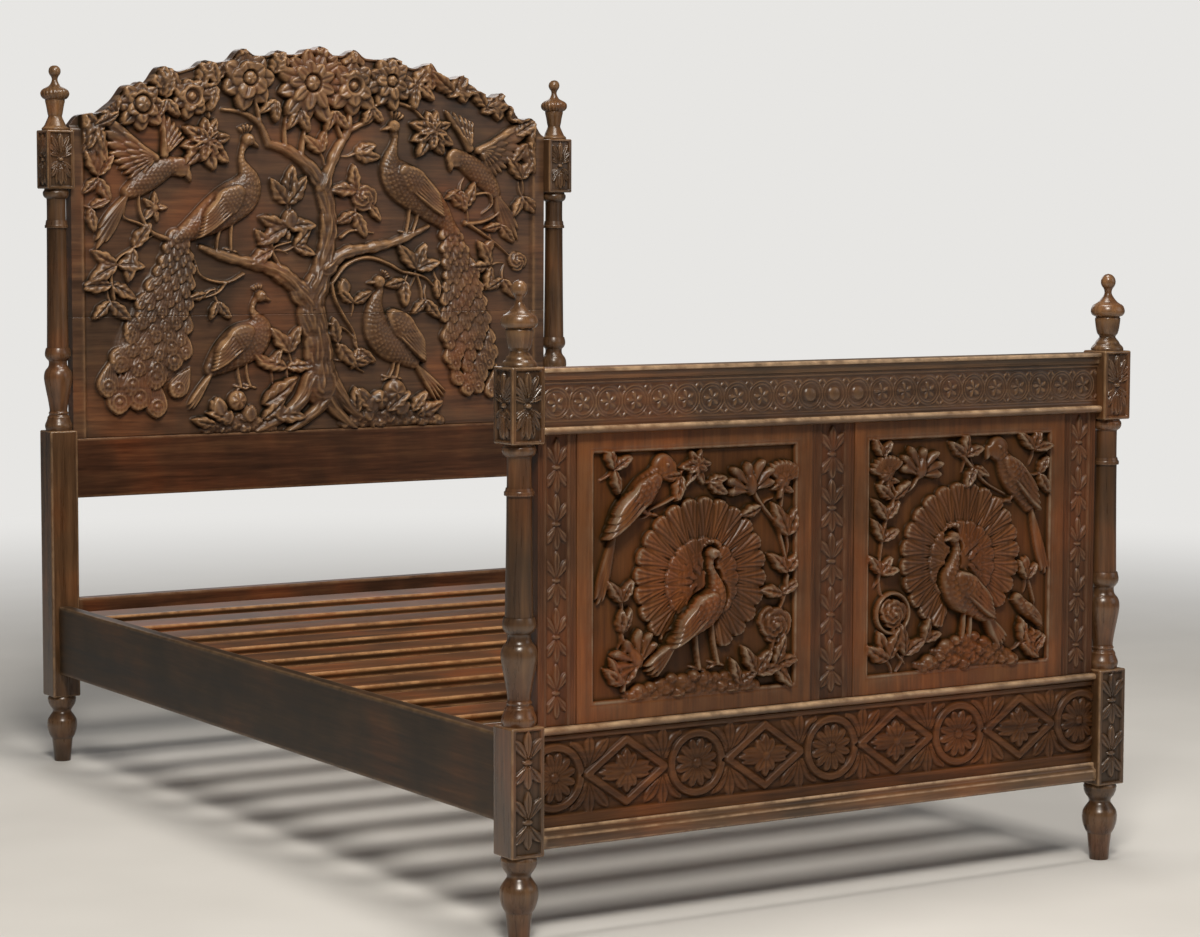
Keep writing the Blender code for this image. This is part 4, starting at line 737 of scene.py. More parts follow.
def parrot(relief, height, body, beak, wings, tail):
    """A flying parrot: two spread wings in three rows of feathers, a long tail and a hooked beak.

    A wing is its root, the angles and lengths of its first and last feathers, and their count.
    """
    x, y, angles, length = tail
    for index, share in enumerate((0.74, 0.90, 1.0, 0.84)):
        angle = angles[0] + (angles[1] - angles[0]) * index / 3
        blade(relief, x, y, length * share, 21, angle, height * 0.45, height * 0.12, widest=0.62, blunt=0.6,
              rib=-0.22, tilt=0.18)
    for x, y, angles, lengths, count in wings:
        for share, level, fewer in ((1.0, 0.16, 0), (0.62, 0.40, 1), (0.36, 0.56, 2)):
            fan(relief, x, y, angles, [length * share for length in lengths], count - fewer, height * 0.38,
                height * level)
        edge = [(*place_from(x, y, angles[0], share * lengths[0]), width)
                for share, width in ((0.0, 21), (0.47, 13), (0.94, 6))]
        ridge(relief, edge, height * 0.70, level=height * 0.25)
    ridge(relief, body, height, scales)
    head_x, head_y, head_width = body[0]
    dome(relief, head_x, head_y, head_width * 0.52, height * 0.45, height * 0.5)
    x, y, angle, length = beak
    blade(relief, x, y, length, length * 0.55, angle, height * 0.6, height * 0.3, widest=0.3, rib=-0.1,
          bend=0.2)
    dome(relief, head_x, head_y + 4, 3.5, 3, height * 0.95)


# Headboard drawing


def arch(x):
    """The board's own curve behind the leafy crest."""
    return np.interp(np.abs(x), crest_places, crest_heights) - crest_reach


def crest_leaves():
    """Leaves all along the arch: place, length and direction of each, leaning either way by turns."""
    found = []
    count, half_span, step = 25, 585, 10
    for index in range(count + 1):
        x = half_span * (2 * index / count - 1)
        slope = (arch(x + step) - arch(x - step)) / (2 * step)
        outward = math.degrees(math.atan2(1.0, -slope))
        lean = 26.0 * (1 if index % 2 else -1) + 10.0 * math.sin(1.9 * index)
        found.append((x, float(arch(x)) - 44, 70 + 6 * math.sin(1.7 * index), outward + lean))
    return found


def crest_tops(across):
    """The top of the upper board: its own curve, broken by the tips of leaves and petals."""
    tops = arch(across)
    share = np.linspace(0.0, 1.0, 40)
    shapes = [(x, y, reach, angle, 0.58) for x, y, reach, angle in crest_leaves()]
    for x, y, radius, petals, _, _ in crest_flowers:
        wide = 2 * math.pi * 0.60 / petals * 1.3
        shapes += [(x, y, radius, 360.0 * index / petals, wide) for index in range(petals)]
    for x, y, reach, angle, wide in shapes:
        turn = math.radians(angle)
        for side in (-1, 1):
            off = side * reach * wide / 2 * np.sin(math.pi * share ** 0.85) ** 0.8
            edge_x = x + reach * 0.97 * share * math.cos(turn) - off * math.sin(turn)
            edge_y = y + reach * 0.97 * share * math.sin(turn) + off * math.cos(turn)
            order = np.argsort(edge_x)
            tops = np.maximum(tops, np.interp(across, edge_x[order], edge_y[order], left=0.0, right=0.0))
    steepest = 1.5 * (across[1] - across[0])
    for reach in range(1, 24):
        tops[reach:] = np.maximum(tops[reach:], tops[:-reach] - steepest * reach)
        tops[:-reach] = np.maximum(tops[:-reach], tops[reach:] - steepest * reach)
    return np.convolve(np.pad(tops, 4, mode="edge"), np.full(9, 1 / 9), "valid")


def draw_tree(relief):
    """Trunk, boughs, roots and twigs of the tree."""
    high = 28
    trunk = [(5, 838, 96), (4, 885, 80), (-5, 950, 74), (-18, 1030, 76), (4, 1095, 62), (22, 1160, 50),
             (28, 1230, 46), (16, 1300, 44), (-22, 1355, 36), (-75, 1393, 28), (-128, 1408, 22)]
    left_bough = [(-18, 1030, 60), (-70, 1085, 46), (-135, 1122, 36), (-200, 1136, 28), (-262, 1152, 24),
                  (-302, 1168, 14)]
    right_bough = [(18, 1118, 50), (70, 1152, 32), (140, 1165, 28), (205, 1178, 24), (262, 1200, 18),
                   (298, 1216, 10)]
    top_bough = [(12, 1310, 40), (30, 1350, 30), (50, 1395, 26), (78, 1440, 22), (86, 1490, 14)]
    ridge(relief, trunk, high, bark, knots=0.06)
    ridge(relief, left_bough, high * 0.9, bark, knots=0.10)
    ridge(relief, right_bough, high * 0.9, bark, knots=0.10)
    ridge(relief, top_bough, high * 0.85, bark, knots=0.09)
    for root in ([(-20, 856, 50), (-48, 806, 40), (-95, 768, 30), (-162, 736, 16)],
                 [(16, 806, 46), (-12, 778, 32), (-46, 754, 26), (-84, 732, 16)],
                 [(24, 806, 46), (48, 776, 32), (76, 752, 24), (100, 732, 16)],
                 [(36, 840, 50), (70, 796, 36), (110, 764, 26), (168, 736, 14)]):
        ridge(relief, root, high * 0.85, bark)
    twigs(relief, high * 0.55, (
        (20, (-128, 1408), (-152, 1455), (-195, 1480), (-245, 1486)),
        (14, (-150, 1450), (-160, 1500), (-190, 1535)),
        (14, (-85, 1400), (-86, 1450), (-78, 1490)),
        (18, (-45, 1375), (-36, 1430), (-22, 1480)),
        (17, (78, 1440), (110, 1456), (142, 1470), (152, 1502), (205, 1512), (255, 1498), (290, 1470)),
        (13, (64, 1425), (46, 1462), (26, 1485)),
        (13, (36, 1082), (75, 1125), (130, 1142), (185, 1128), (225, 1108), (262, 1100), (278, 1065),
             (280, 1035)),
        (10, (245, 1104), (290, 1092), (328, 1055)),
        (11, (34, 1082), (44, 1045), (70, 1000), (94, 965), (104, 925)),
        (11, (50, 935), (84, 890), (122, 868)),
        (9, (28, 985), (70, 972), (98, 948)),
        (10, (-195, 1105), (-240, 1086), (-300, 1100), (-318, 1140)),
        (9, (-240, 1086), (-262, 1062), (-310, 1046)),
        (12, (-85, 1095), (-108, 1135), (-118, 1165), (-70, 1180)),
        (14, (-385, 1186), (-430, 1206), (-453, 1250), (-456, 1296)),
        (10, (-420, 1200), (-455, 1222), (-492, 1236), (-490, 1262)),
        (10, (-520, 1050), (-526, 1100), (-512, 1140), (-470, 1168), (-420, 1196)),
        (12, (400, 1222), (450, 1228), (492, 1250), (500, 1290)),
        (11, (400, 1226), (446, 1200), (492, 1170), (530, 1140)),
        (9, (415, 1292), (462, 1296), (476, 1270), (448, 1246)),
        (10, (60, 1190), (90, 1206), (150, 1200))))


def draw_peacocks(relief):
    """The two great peacocks, their trains, and the two peahens under them."""
    train(relief, [(-366, 1190, 50), (-364, 1150, 86), (-371, 1100, 112), (-390, 1055, 138),
                   (-402, 1015, 156), (-416, 970, 178), (-430, 925, 200), (-444, 885, 218),
                   (-452, 845, 214), (-466, 805, 165)], 20, 66)
    train(relief, [(356, 1215, 46), (372, 1148, 86), (390, 1087, 108), (397, 1026, 134), (404, 965, 148),
                   (412, 911, 158), (425, 862, 144), (440, 815, 106)], 20, 42)
    bird(relief, 27, body=[(-181, 1417, 28), (-194, 1394, 17), (-197, 1370, 19), (-187, 1346, 34),
                           (-180, 1318, 62), (-195, 1290, 88), (-226, 1270, 96), (-268, 1243, 86),
                           (-318, 1213, 58), (-366, 1185, 34)],
         wing=(-220, 1288, -330, 1198, 64), beak=(-173, 1414, -35, 30), crest=(-183, 1420, 98, 34),
         legs=[[(-224, 1220), (-226, 1190), (-226, 1160)], [(-253, 1212), (-260, 1185), (-263, 1160)]])
    bird(relief, 27, body=[(203, 1455, 28), (208, 1430, 18), (203, 1405, 23), (196, 1378, 42),
                           (200, 1348, 70), (226, 1322, 96), (264, 1298, 98), (306, 1266, 80),
                           (340, 1234, 52), (358, 1206, 36)],
         wing=(234, 1340, 346, 1248, 64), beak=(196, 1453, 197, 30), crest=(206, 1458, 75, 36),
         legs=[[(246, 1272), (244, 1236), (236, 1200)], [(268, 1262), (266, 1232), (254, 1202)]])
    bird(relief, 24, body=[(-151, 1053, 26), (-166, 1040, 16), (-171, 1020, 17), (-160, 1000, 30),
                           (-153, 976, 62), (-172, 953, 90), (-204, 939, 100), (-242, 914, 78),
                           (-278, 886, 40)],
         wing=(-196, 966, -294, 890, 60), beak=(-145, 1051, -23, 28), crest=(-154, 1056, 104, 26),
         legs=[[(-212, 895), (-208, 866), (-202, 840)], [(-190, 897), (-186, 866), (-178, 842)]],
         tail=(-268, 892, 236, 122, 3, 8, 14))
    bird(relief, 24, body=[(162, 1084, 28), (166, 1062, 20), (154, 1038, 36), (150, 1005, 56), (160, 968, 78),
                           (188, 938, 86), (222, 916, 66), (256, 890, 36)],
         wing=(204, 994, 298, 896, 64), beak=(152, 1083, 186, 26), crest=(170, 1090, 48, 24),
         legs=[[(203, 898), (200, 874), (189, 854)], [(216, 894), (214, 874), (209, 853)]],
         tail=(248, 898, -48, 140, 4, 15, 11))


def draw_parrots(relief):
    """The two parrots that fly over the trains."""
    parrot(relief, 20, body=[(-352, 1352, 46), (-383, 1352, 48), (-418, 1334, 58), (-452, 1312, 54),
                             (-482, 1294, 36)],
           beak=(-338, 1348, -80, 36), tail=(-476, 1302, (229, 243), 165),
           wings=[(-392, 1380, (92, 40), (100, 66), 6), (-415, 1372, (145, 226), (158, 80), 9)])
    parrot(relief, 20, body=[(370, 1381, 46), (396, 1374, 48), (430, 1352, 58), (460, 1328, 52),
                             (482, 1300, 36)],
           beak=(360, 1378, -102, 34), tail=(478, 1308, (-74, -54), 146),
           wings=[(412, 1404, (126, 82), (114, 68), 6), (436, 1400, (26, -60), (152, 78), 9)])


def draw_crest(relief):
    """Flowers and leaves along the arch."""
    for index, (x, y, reach, angle) in enumerate(crest_leaves()):
        crowded = min(math.hypot(x - flower[0], y - flower[1]) for flower in crest_flowers) < 75
        turn = -1 if index % 2 else 1
        if not crowded and x < 300:
            leaf(relief, x, y + 4, reach * 0.90, angle + 62.0 * turn, 13, 1, bend=-0.12)
        leaf(relief, x, y, reach, angle, 16, 4, bend=-0.12 * turn, width=0.60)
    for x, y, length, *angles in (
            (-110, 1512, 56, 225, 260), (-50, 1492, 62, 245, 285), (40, 1490, 60, 255, 300),
            (140, 1500, 50, 250, 300), (262, 1556, 64, 215, 255, 330), (362, 1540, 78, 12, 62, 150),
            (452, 1506, 70, 40, -8, 130), (520, 1478, 60, 10, 60), (-560, 1446, 62, 150, 240, 290, 20),
            (-390, 1508, 56, 250, 300, 80), (-516, 1470, 62, 95, 150, 215), (-400, 1530, 56, 70, 125),
            (-262, 1540, 60, 200, 245, 110)):
        for turn, angle in enumerate(angles):
            leaf(relief, x, y, length, angle, 15, 6 + 1.5 * turn, bend=0.15 if turn % 2 else -0.15)
    for index in range(9):
        blade(relief, -8, 1560, 80, 32, 30.0 + 15.0 * index, 14, 6 + 3 * (index % 2), widest=0.66, blunt=0.60,
              rib=0.22, rise=4, tilt=0.2)
    for x, y, radius, petals, eye, hollow in crest_flowers:
        daisy(relief, x, y, radius, petals, 32, eye, hollow)
    ragged_flower(relief, -291, 1412, 68, 8, 28, turn=8)
    ragged_flower(relief, 304, 1444, 62, 8, 28, turn=20)
    bud(relief, -276, 1494, 14, 80, 18)


def draw_foliage(relief):
    """Leaf sprays, buds and roses among the boughs."""
    sprays(relief, 14, (
        (-565, 1430, 66, 235, 270, 300), (-556, 1330, 52, 60, 110), (-556, 1326, 48, 230, 290),
        (-575, 1258, 44, 30, 270), (-470, 1166, 62, 62, 250), (-512, 1128, 60, 160, 200, 5),
        (-526, 1082, 60, 340, 175), (-530, 1046, 52, 232, 310), (-290, 1060, 42, 200),
        (-262, 1042, 42, 255, 300), (-76, 1284, 66, 91), (-80, 1268, 64, 134, 45),
        (-82, 1214, 66, 170, 200, 12), (-120, 1160, 56, 140, 200), (-64, 1168, 52, 350, 40),
        (8, 1388, 50, 88, 130), (98, 1388, 54, 30, 345), (102, 1300, 56, 106, 170),
        (100, 1250, 52, 215, 285), (134, 1268, 46, -42), (400, 1262, 52, 150, 60),
        (386, 1304, 42, 215, 275), (500, 1220, 44, 200, 300), (560, 1330, 56, 70, 120),
        (560, 1290, 52, 250, 310), (575, 1420, 60, 235, 275), (470, 1120, 54, 190, 110, 265),
        (505, 1088, 48, 215, 300), (92, 1035, 44, 150, 20), (262, 1112, 60, 75, 120, 25),
        (234, 1086, 50, 200, 260), (290, 1040, 46, 230, 300), (320, 1090, 44, 280),
        (104, 925, 46, 260, 315), (52, 938, 56, 110, 300), (76, 900, 46, 20, 340), (-78, 918, 60, 75, 120),
        (-84, 884, 58, 10, 160), (-126, 880, 48, 70, 130)), growth=1.18)
    spray(relief, -418, 1258, 36, (10, 80, 150, 220, 290), 10)
    dome(relief, -418, 1258, 10, 10, 6)
    rose(relief, 120, 1285, 38, 22)
    rose(relief, 545, 1131, 28, 22)
    bud(relief, -74, 1232, 22, 80, 20)
    bud(relief, 68, 1074, 18, 110, 18)
    bud(relief, 467, 1168, 14, -100, 16)


def draw_foot_plants(relief):
    """Curled leaves, gourds and worn rocks along the foot of the board."""
    rocks(relief, -300, -120, 752, 13)
    rocks(relief, 60, 330, 754, 14)
    rocks(relief, 120, 240, 796, 13)
    for x, y, length, angle, bend in (
            (-150, 800, 110, 22, 0.22), (-120, 770, 84, 8, -0.18), (-150, 764, 78, 30, 0.20),
            (-236, 764, 60, 150, 0.2), (-270, 756, 62, 176, -0.15), (140, 772, 70, 120, 0.25),
            (180, 772, 80, 50, -0.25), (262, 762, 80, 12, 0.2), (250, 770, 64, 62, -0.2),
            (100, 770, 66, 105, -0.2)):
        leaf(relief, x, y, length, angle, 16, 4, bend=bend, width=0.50)
    for x, y, radius, flutes in ((-213, 810, 25, 6), (204, 818, 32, 5), (162, 800, 26, 4)):
        dome(relief, x, y, radius, 20, 4, flutes=flutes)
    for x, y, radius, angle in ((-262, 796, 22, 110), (-240, 770, 18, 60), (-182, 778, 20, 80),
                                (-105, 780, 18, 60), (114, 806, 24, 120), (140, 790, 22, 60),
                                (222, 780, 22, 40), (286, 776, 20, 60), (130, 768, 18, 110)):
        bud(relief, x, y, radius, angle, 22)


def draw_headboard(relief):
    """All that is carved on the back, its rim along the crest and the plain margin beside the field."""
    for draw in (draw_foliage, draw_foot_plants, draw_tree, draw_peacocks, draw_parrots, draw_crest):
        draw(relief)
    # Painted highlight: the crest is painted paler upwards, as if lit from above
    relief.tone = crest_painted_highlight * ease((relief.y - crest_foot) / 60)
    rim = ease((relief.y - relief.tops + 7) / 3) * (relief.tops > shoulder)
    relief.height = np.maximum(relief.height, 7 * rim)
    inside = field_half - np.abs(relief.x)
    lip = 1.0 - ease((inside + 2) / 10)
    flat = ease((shoulder + 12 - relief.y) / 10)
    relief.height = np.maximum(relief.height * ease(inside / 6 + 1.0), margin_height * lip * flat)


# Meshes


def wear_and_painted_light(relief):
    """How exposed each place is: 0 in the deepest recess, painted darkest as shade and dirt, 1 on the most
    rubbed edge, painted palest as wear and highlight.
    """
    height = relief.height
    # Painted light: what stands out is painted paler as highlight and wear, hollows darker as shade and dirt
    fine = height - soften(height, max(1, round(4 / relief.cell)))
    broad = height - soften(height, max(2, round(16 / relief.cell)))
    fine = np.where(fine < 0.0, 0.55 * fine, fine)
    return np.clip(0.5 + relief.tone + fine / 7.0 + broad / 70.0, 0.0, 1.0)


def mesh_of(name, points, faces, wear_and_light):
    """A mesh of points given in millimetres, with how worn and how lit each of them is painted."""
    mesh = bpy.data.meshes.new(name)
    mesh.from_pydata((np.array(points) / 1000).tolist(), [], faces)
    worn_and_highlit = mesh.attributes.new("wear_and_painted_light", "FLOAT", "POINT")
    worn_and_highlit.data.foreach_set("value", wear_and_light)
    return mesh


def add_piece(mesh, replaced, finish):
    """Put a mesh in the scene with its finish, riding on the one body in place of a CAD solid."""
    piece = bpy.data.objects.new(mesh.name, mesh)
    bpy.context.scene.collection.objects.link(piece)
    mesh.materials.append(finish)
    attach(piece, "root")
    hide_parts(replaced)


def add_carved(name, relief, front, back, finish):
    """A closed piece with a carved front that looks towards -y and a flat back."""
    relief.height = 0.6 * relief.height + 0.4 * soften(relief.height, 1)
    rows, columns = relief.height.shape
    index = np.arange(rows * columns).reshape(rows, columns)
    corners = [index[:-1, :-1], index[:-1, 1:], index[1:, 1:], index[1:, :-1]]
    carved = np.stack(corners, axis=-1).reshape(-1, 4)
    rim = np.concatenate([index[0, :-1], index[:-1, -1], index[-1, :0:-1], index[:0:-1, 0]])
    below = index.size + np.arange(rim.size)
    walls = np.stack([rim, below, np.roll(below, -1), np.roll(rim, -1)], axis=-1)
    face = np.stack([relief.x.ravel(), front - relief.height.ravel(), relief.y.ravel()], axis=-1)
    flat = face[rim].copy()
    flat[:, 1] = back
    mesh = mesh_of("carved_" + name, np.vstack([face, flat]),
                   carved.tolist() + walls.tolist() + [below[::-1].tolist()],
                   np.concatenate([wear_and_painted_light(relief).ravel(), np.full(rim.size, 0.45)]))
    smooth = np.zeros(len(mesh.polygons), bool)
    smooth[:len(carved)] = True
    mesh.polygons.foreach_set("use_smooth", smooth)
    add_piece(mesh, name, finish)


def make_headboard():
    """The two carved boards."""
    lower = Relief(-board_half, board_half, board_bottom, seam - fit / 2, board_cell)
    upper = Relief(-board_half, board_half, seam + fit / 2, crest_tops, board_cell,
                   hem_at=lambda x: arch(x) - hem_drop)
    for name, relief in (("headboard_lower_board", lower), ("headboard_upper_board", upper)):
        draw_headboard(relief)
        add_carved(name, relief, ground_y, board_back, carved_x)


# Footboard drawing


def shell_disc(relief, x, y, radius, lobes, lean, height, level):
    """A round fan of lobes with a scalloped rim, veined from its middle outwards and open at its foot."""
    part, away_x, away_y = relief.around(x, y, radius)
    top = math.radians(lean)
    theta = np.arctan2(-away_x * math.cos(top) - away_y * math.sin(top),
                       away_y * math.cos(top) - away_x * math.sin(top))
    sweep = math.radians(318.0)
    turned = (theta / sweep + 0.5) * lobes
    side = 2.0 * (turned - np.floor(turned)) - 1.0
    round_lobe = np.sqrt(1.0 - side ** 2)
    rim = radius * (0.91 + 0.09 * round_lobe)
    out = np.hypot(away_x, away_y) / rim
    swell = round_lobe * ease((out - 0.15) / 0.5)
    veins = np.cos(2 * math.pi * (2.0 * np.abs(side) - 2.4 * out)) * ease((out - 0.25) / 0.25)
    surface = 0.42 + 0.26 * out + 0.34 * swell + 0.15 * veins
    edge = ease((1.0 - out) * rim / (1.3 * relief.cell)) * (np.abs(theta) < sweep / 2)
    relief.raise_to(part, (level + height * surface) * edge)


def peacock_fan(relief, x, y, radius, lean):
    """A raised tail: a shell of veined lobes, a smaller one over it, and small scales at its heart."""
    heart_y = y - radius * 0.06
    shell_disc(relief, x, y, radius, 21, lean, 10, 0.0)
    shell_disc(relief, x, heart_y, radius * 0.56, 15, lean, 6, 6.2)
    dome(relief, x, heart_y, radius * 0.14, 3, 9)
    for row in range(4):
        away = radius * (0.34 - 0.075 * row)
        count = max(5, round(2 * math.pi * away / 13.5))
        for index in range(count):
            angle = 360.0 * (index + 0.5 * (row % 2)) / count
            blade(relief, *place_from(x, heart_y, angle, 0.70 * away), 19, 14, angle, 3.2, 9.2 + 0.4 * row,
                  widest=0.62, blunt=0.5, rib=0.0, lip=0.5)


def draw_left_panel(relief):
    """A peacock before its raised tail, a parrot over it, and lilies, a rose and leaves round them."""
    peacock_fan(relief, -287, 611, 141, -4)
    sprays(relief, 11, (
        (-452, 574, 46, 70, 120), (-452, 520, 44, 100, 60), (-470, 806, 46, 40, 100, 290),
        (-330, 792, 44, 190, 250), (-270, 776, 40, 20, 320), (-158, 728, 50, 205), (-100, 672, 64, 72, 110),
        (-100, 606, 50, 60, 130), (-112, 568, 46, 40, 160), (-128, 440, 56, 20, 60, 320),
        (-168, 428, 54, 60, 110, 20), (-205, 412, 46, 40, 100), (-450, 430, 50, 60, 110, 150)))
    twigs(relief, 11, (
        (10, (-180, 766), (-160, 735), (-124, 692), (-104, 640), (-98, 585)),
        (9, (-114, 765), (-112, 735), (-118, 698)),
        (9, (-100, 600), (-106, 560), (-126, 520)),
        (10, (-126, 500), (-140, 455), (-180, 412)),
        (10, (-448, 420), (-446, 480), (-452, 540), (-448, 600)),
        (10, (-300, 790), (-345, 752), (-400, 730))))
    rocks(relief, -440, -170, 416, 12)
    lily(relief, -182, 768, 52, 100)
    lily(relief, -424, 474, 52, 125)
    bell_flower(relief, -112, 764, 46, 82)
    ragged_flower(relief, -297, 808, 34, 6, 14)
    rose(relief, -128, 514, 38, 18)
    bird(relief, 17, body=[(-367, 808, 42), (-384, 791, 38), (-408, 765, 56), (-434, 740, 44),
                           (-456, 714, 28)],
         wing=(-394, 780, -498, 692, 42), beak=(-353, 814, -50, 30), hook=-0.30,
         legs=[[(-412, 742), (-402, 730), (-392, 726)]], tail=(-462, 716, 255, 150, 3, 6, 16))
    bird(relief, 17, body=[(-269, 651, 20), (-271, 630, 13), (-262, 606, 20), (-258, 576, 42),
                           (-282, 550, 62), (-316, 524, 46), (-348, 498, 28)],
         wing=(-278, 566, -368, 496, 44), beak=(-263, 650, -26, 22), crest=(-271, 654, 108, 22), level=9,
         legs=[[(-299, 522), (-296, 484), (-290, 446)], [(-264, 524), (-259, 488), (-250, 452)]],
         tail=(-340, 504, 224, 86, 4, 20, 14))


def draw_right_panel(relief):
    """A peacock before its raised tail, a parrot and a small bird, and a ringed rose, a lily and leaves."""
    peacock_fan(relief, 297, 611, 141, 4)
    sprays(relief, 11, (
        (110, 806, 38, 60, 110), (136, 728, 46, 150, 30), (122, 690, 46, 60, 120), (114, 650, 44, 40, 110),
        (110, 590, 42, 60, 120, 20), (304, 800, 46, 150, 80, 30), (328, 778, 40, 340, 230),
        (470, 806, 46, 80, 130, 20), (486, 760, 40, 70, 290), (128, 430, 60, 120, 60, 160),
        (166, 436, 56, 40, 90), (212, 458, 44, 30, 70), (446, 440, 52, 30, 80, 330),
        (474, 418, 46, 60, 110), (456, 560, 40, 60, 110)))
    twigs(relief, 11, (
        (10, (124, 764), (140, 735), (122, 690), (112, 640), (108, 580), (118, 540)),
        (9, (200, 776), (180, 745), (142, 728)),
        (10, (140, 490), (140, 455), (170, 420)),
        (10, (300, 800), (350, 752), (404, 724)),
        (9, (468, 440), (480, 490), (468, 545), (452, 585))))
    rocks(relief, 200, 430, 420, 14)
    rocks(relief, 240, 390, 442, 13)
    bell_flower(relief, 124, 764, 46, 100)
    lily(relief, 200, 780, 50, 80)
    bud(relief, 453, 590, 13, 80, 13)
    ring(relief, 138, 516, 37, 4.2, 9, 3)
    rose(relief, 138, 516, 32, 19)
    bird(relief, 17, body=[(383, 811, 42), (398, 790, 38), (418, 760, 56), (442, 728, 44), (460, 700, 27)],
         wing=(408, 782, 488, 696, 40), beak=(369, 816, -130, 30), hook=0.30,
         legs=[[(424, 724), (416, 714), (404, 712)]], tail=(462, 706, -73, 146, 3, 6, 16))
    bird(relief, 14, body=[(434, 524, 22), (446, 512, 28), (462, 498, 28), (482, 480, 16)],
         wing=(450, 512, 494, 470, 20), beak=(428, 524, 190, 13), legs=[], level=3)
    bird(relief, 18, body=[(272, 651, 20), (282, 630, 14), (276, 604, 23), (268, 572, 46), (288, 546, 64),
                           (322, 522, 47), (350, 500, 28)],
         wing=(288, 570, 372, 500, 46), beak=(266, 651, 206, 22), crest=(273, 655, 88, 24), level=9,
         legs=[[(304, 512), (304, 480), (298, 452)], [(318, 508), (320, 480), (315, 452)]],
         tail=(344, 508, -51, 86, 4, 18, 14))


def make_panels():
    """The two carved panels: a bright flat margin with a groove near its lip, round a sunk, duller field."""
    for name, side, draw in (("footboard_panel_left", -1, draw_left_panel),
                             ("footboard_panel_right", 1, draw_right_panel)):
        left, right = sorted((side * panel_inner, side * panel_outer))
        relief = Relief(left, right, opening_low, opening_high, panel_cell)
        draw(relief)
        relief.height *= panel_lift
        beside = np.minimum(relief.x - left, right - relief.x)
        upright = np.minimum(relief.y - opening_low, opening_high - relief.y)
        inside = np.minimum(beside, upright) - panel_border
        lip = 1.0 - ease((inside + 1) / 2)
        groove = 1.4 * np.exp(-((inside + 6) / 1.2) ** 2)
        relief.height = np.maximum(relief.height * (inside > -2), (panel_margin - groove) * lip)
        relief.tone = 0.05 * lip - panel_dullness * (1.0 - lip)
        add_carved(name, relief, panel_ground, panel_back, panel_z)


def bow_husks(relief, x, top, bottom, width, height, units):
    """A string of tied leaf sprays, each opening upwards and downwards from its tie."""
    pitch = (top - bottom) / units
    for index in range(units):
        y = top - (index + 0.5) * pitch
        for up, reach in ((1, 0.54), (-1, 0.47)):
            for lean, share, wide in ((-27, 0.94, 0.42), (27, 0.94, 0.42), (0, 1.0, 0.40)):
                blade(relief, x, y, pitch * reach * share, width * wide, up * 90 + lean, height * 1.25,
                      widest=0.64, blunt=0.85, rib=0.30, bend=0.16 * np.sign(lean), fold=0.5,
                      rise=height * 0.25)
        dome(relief, x, y, width * 0.24, height * 0.8, height * 0.4, flat=2.2)


def make_uprights():
    """The stiles and the muntin: fine reeds along both edges, and tied husks in a shallow strip between."""
    for name, left, right in (("footboard_stile_left", -board_half, -stile_inner),
                              ("footboard_muntin", -muntin_half, muntin_half),
                              ("footboard_stile_right", stile_inner, board_half)):
        relief = Relief(left, right, opening_low, opening_high, stile_cell)
        middle, half = (left + right) / 2, (right - left) / 2
        strip = half * 0.50
        away = np.abs(relief.x - middle)
        bow_husks(relief, middle, opening_high - 8, opening_low + 8, strip * 1.9, stile_sink, 5)
        in_strip = away < strip - 0.01  # the columns right on the strip's edge stay flat
        relief.height = np.where(in_strip, relief.height, 0.0)
        grooves = sum(1.8 * np.exp(-((half - away - place) / 1.1) ** 2) for place in (5, 10))
        relief.height = np.maximum(relief.height, stile_sink * ease((away - strip) / 2) - grooves)
        add_carved(name, relief, stile_front + stile_sink, stile_back, red_z)


def rosette(relief, x, y, radius, petals, height):
    """A round flower of hollowed petals in a plain flat ring."""
    wide = 2 * math.pi * radius * 0.60 / petals
    for index in range(petals):
        blade(relief, x, y, radius * 0.84, wide, 360.0 * (index + 0.5) / petals, height * 1.2, widest=0.70,
              blunt=0.55, rib=0.16, cup=0.55, rise=1)
    dome(relief, x, y, radius * 0.18, height * 0.8, height * 0.6)
    strap_ring(relief, x, y, radius, radius * 0.145, height * 1.15)


def lozenge(relief, x, y, half_width, half_height, height):
    """A flat strap lozenge with a four-leaved flower inside it."""
    strap = 16.5
    tips = [(x + half_width, y), (x, y + half_height), (x - half_width, y), (x, y - half_height)]
    for first, second in zip(tips, tips[1:] + tips[:1]):
        middle = (first[0] + second[0]) / 2, (first[1] + second[1]) / 2
        ridge(relief, [(*place, strap) for place in (first, middle, second)], height * 1.05, flat=True)
    for angle in (0, 180):
        for lean in (-13, 13, 0):
            reach = half_width * (0.66 if lean else 0.74)
            blade(relief, x, y, reach, half_height * 0.40, angle + lean, height, 1, rib=0.25, fold=0.3)
    for angle in (90, 270):
        for lean, share in ((-32, 0.62), (32, 0.62), (0, 0.72)):
            blade(relief, x, y, half_height * share, half_height * 0.38, angle + lean, height * 1.2, 1.5,
                  widest=0.6, blunt=0.7, rib=0.25, fold=0.25)
    dome(relief, x, y, half_height * 0.17, height * 0.8, height * 0.8)


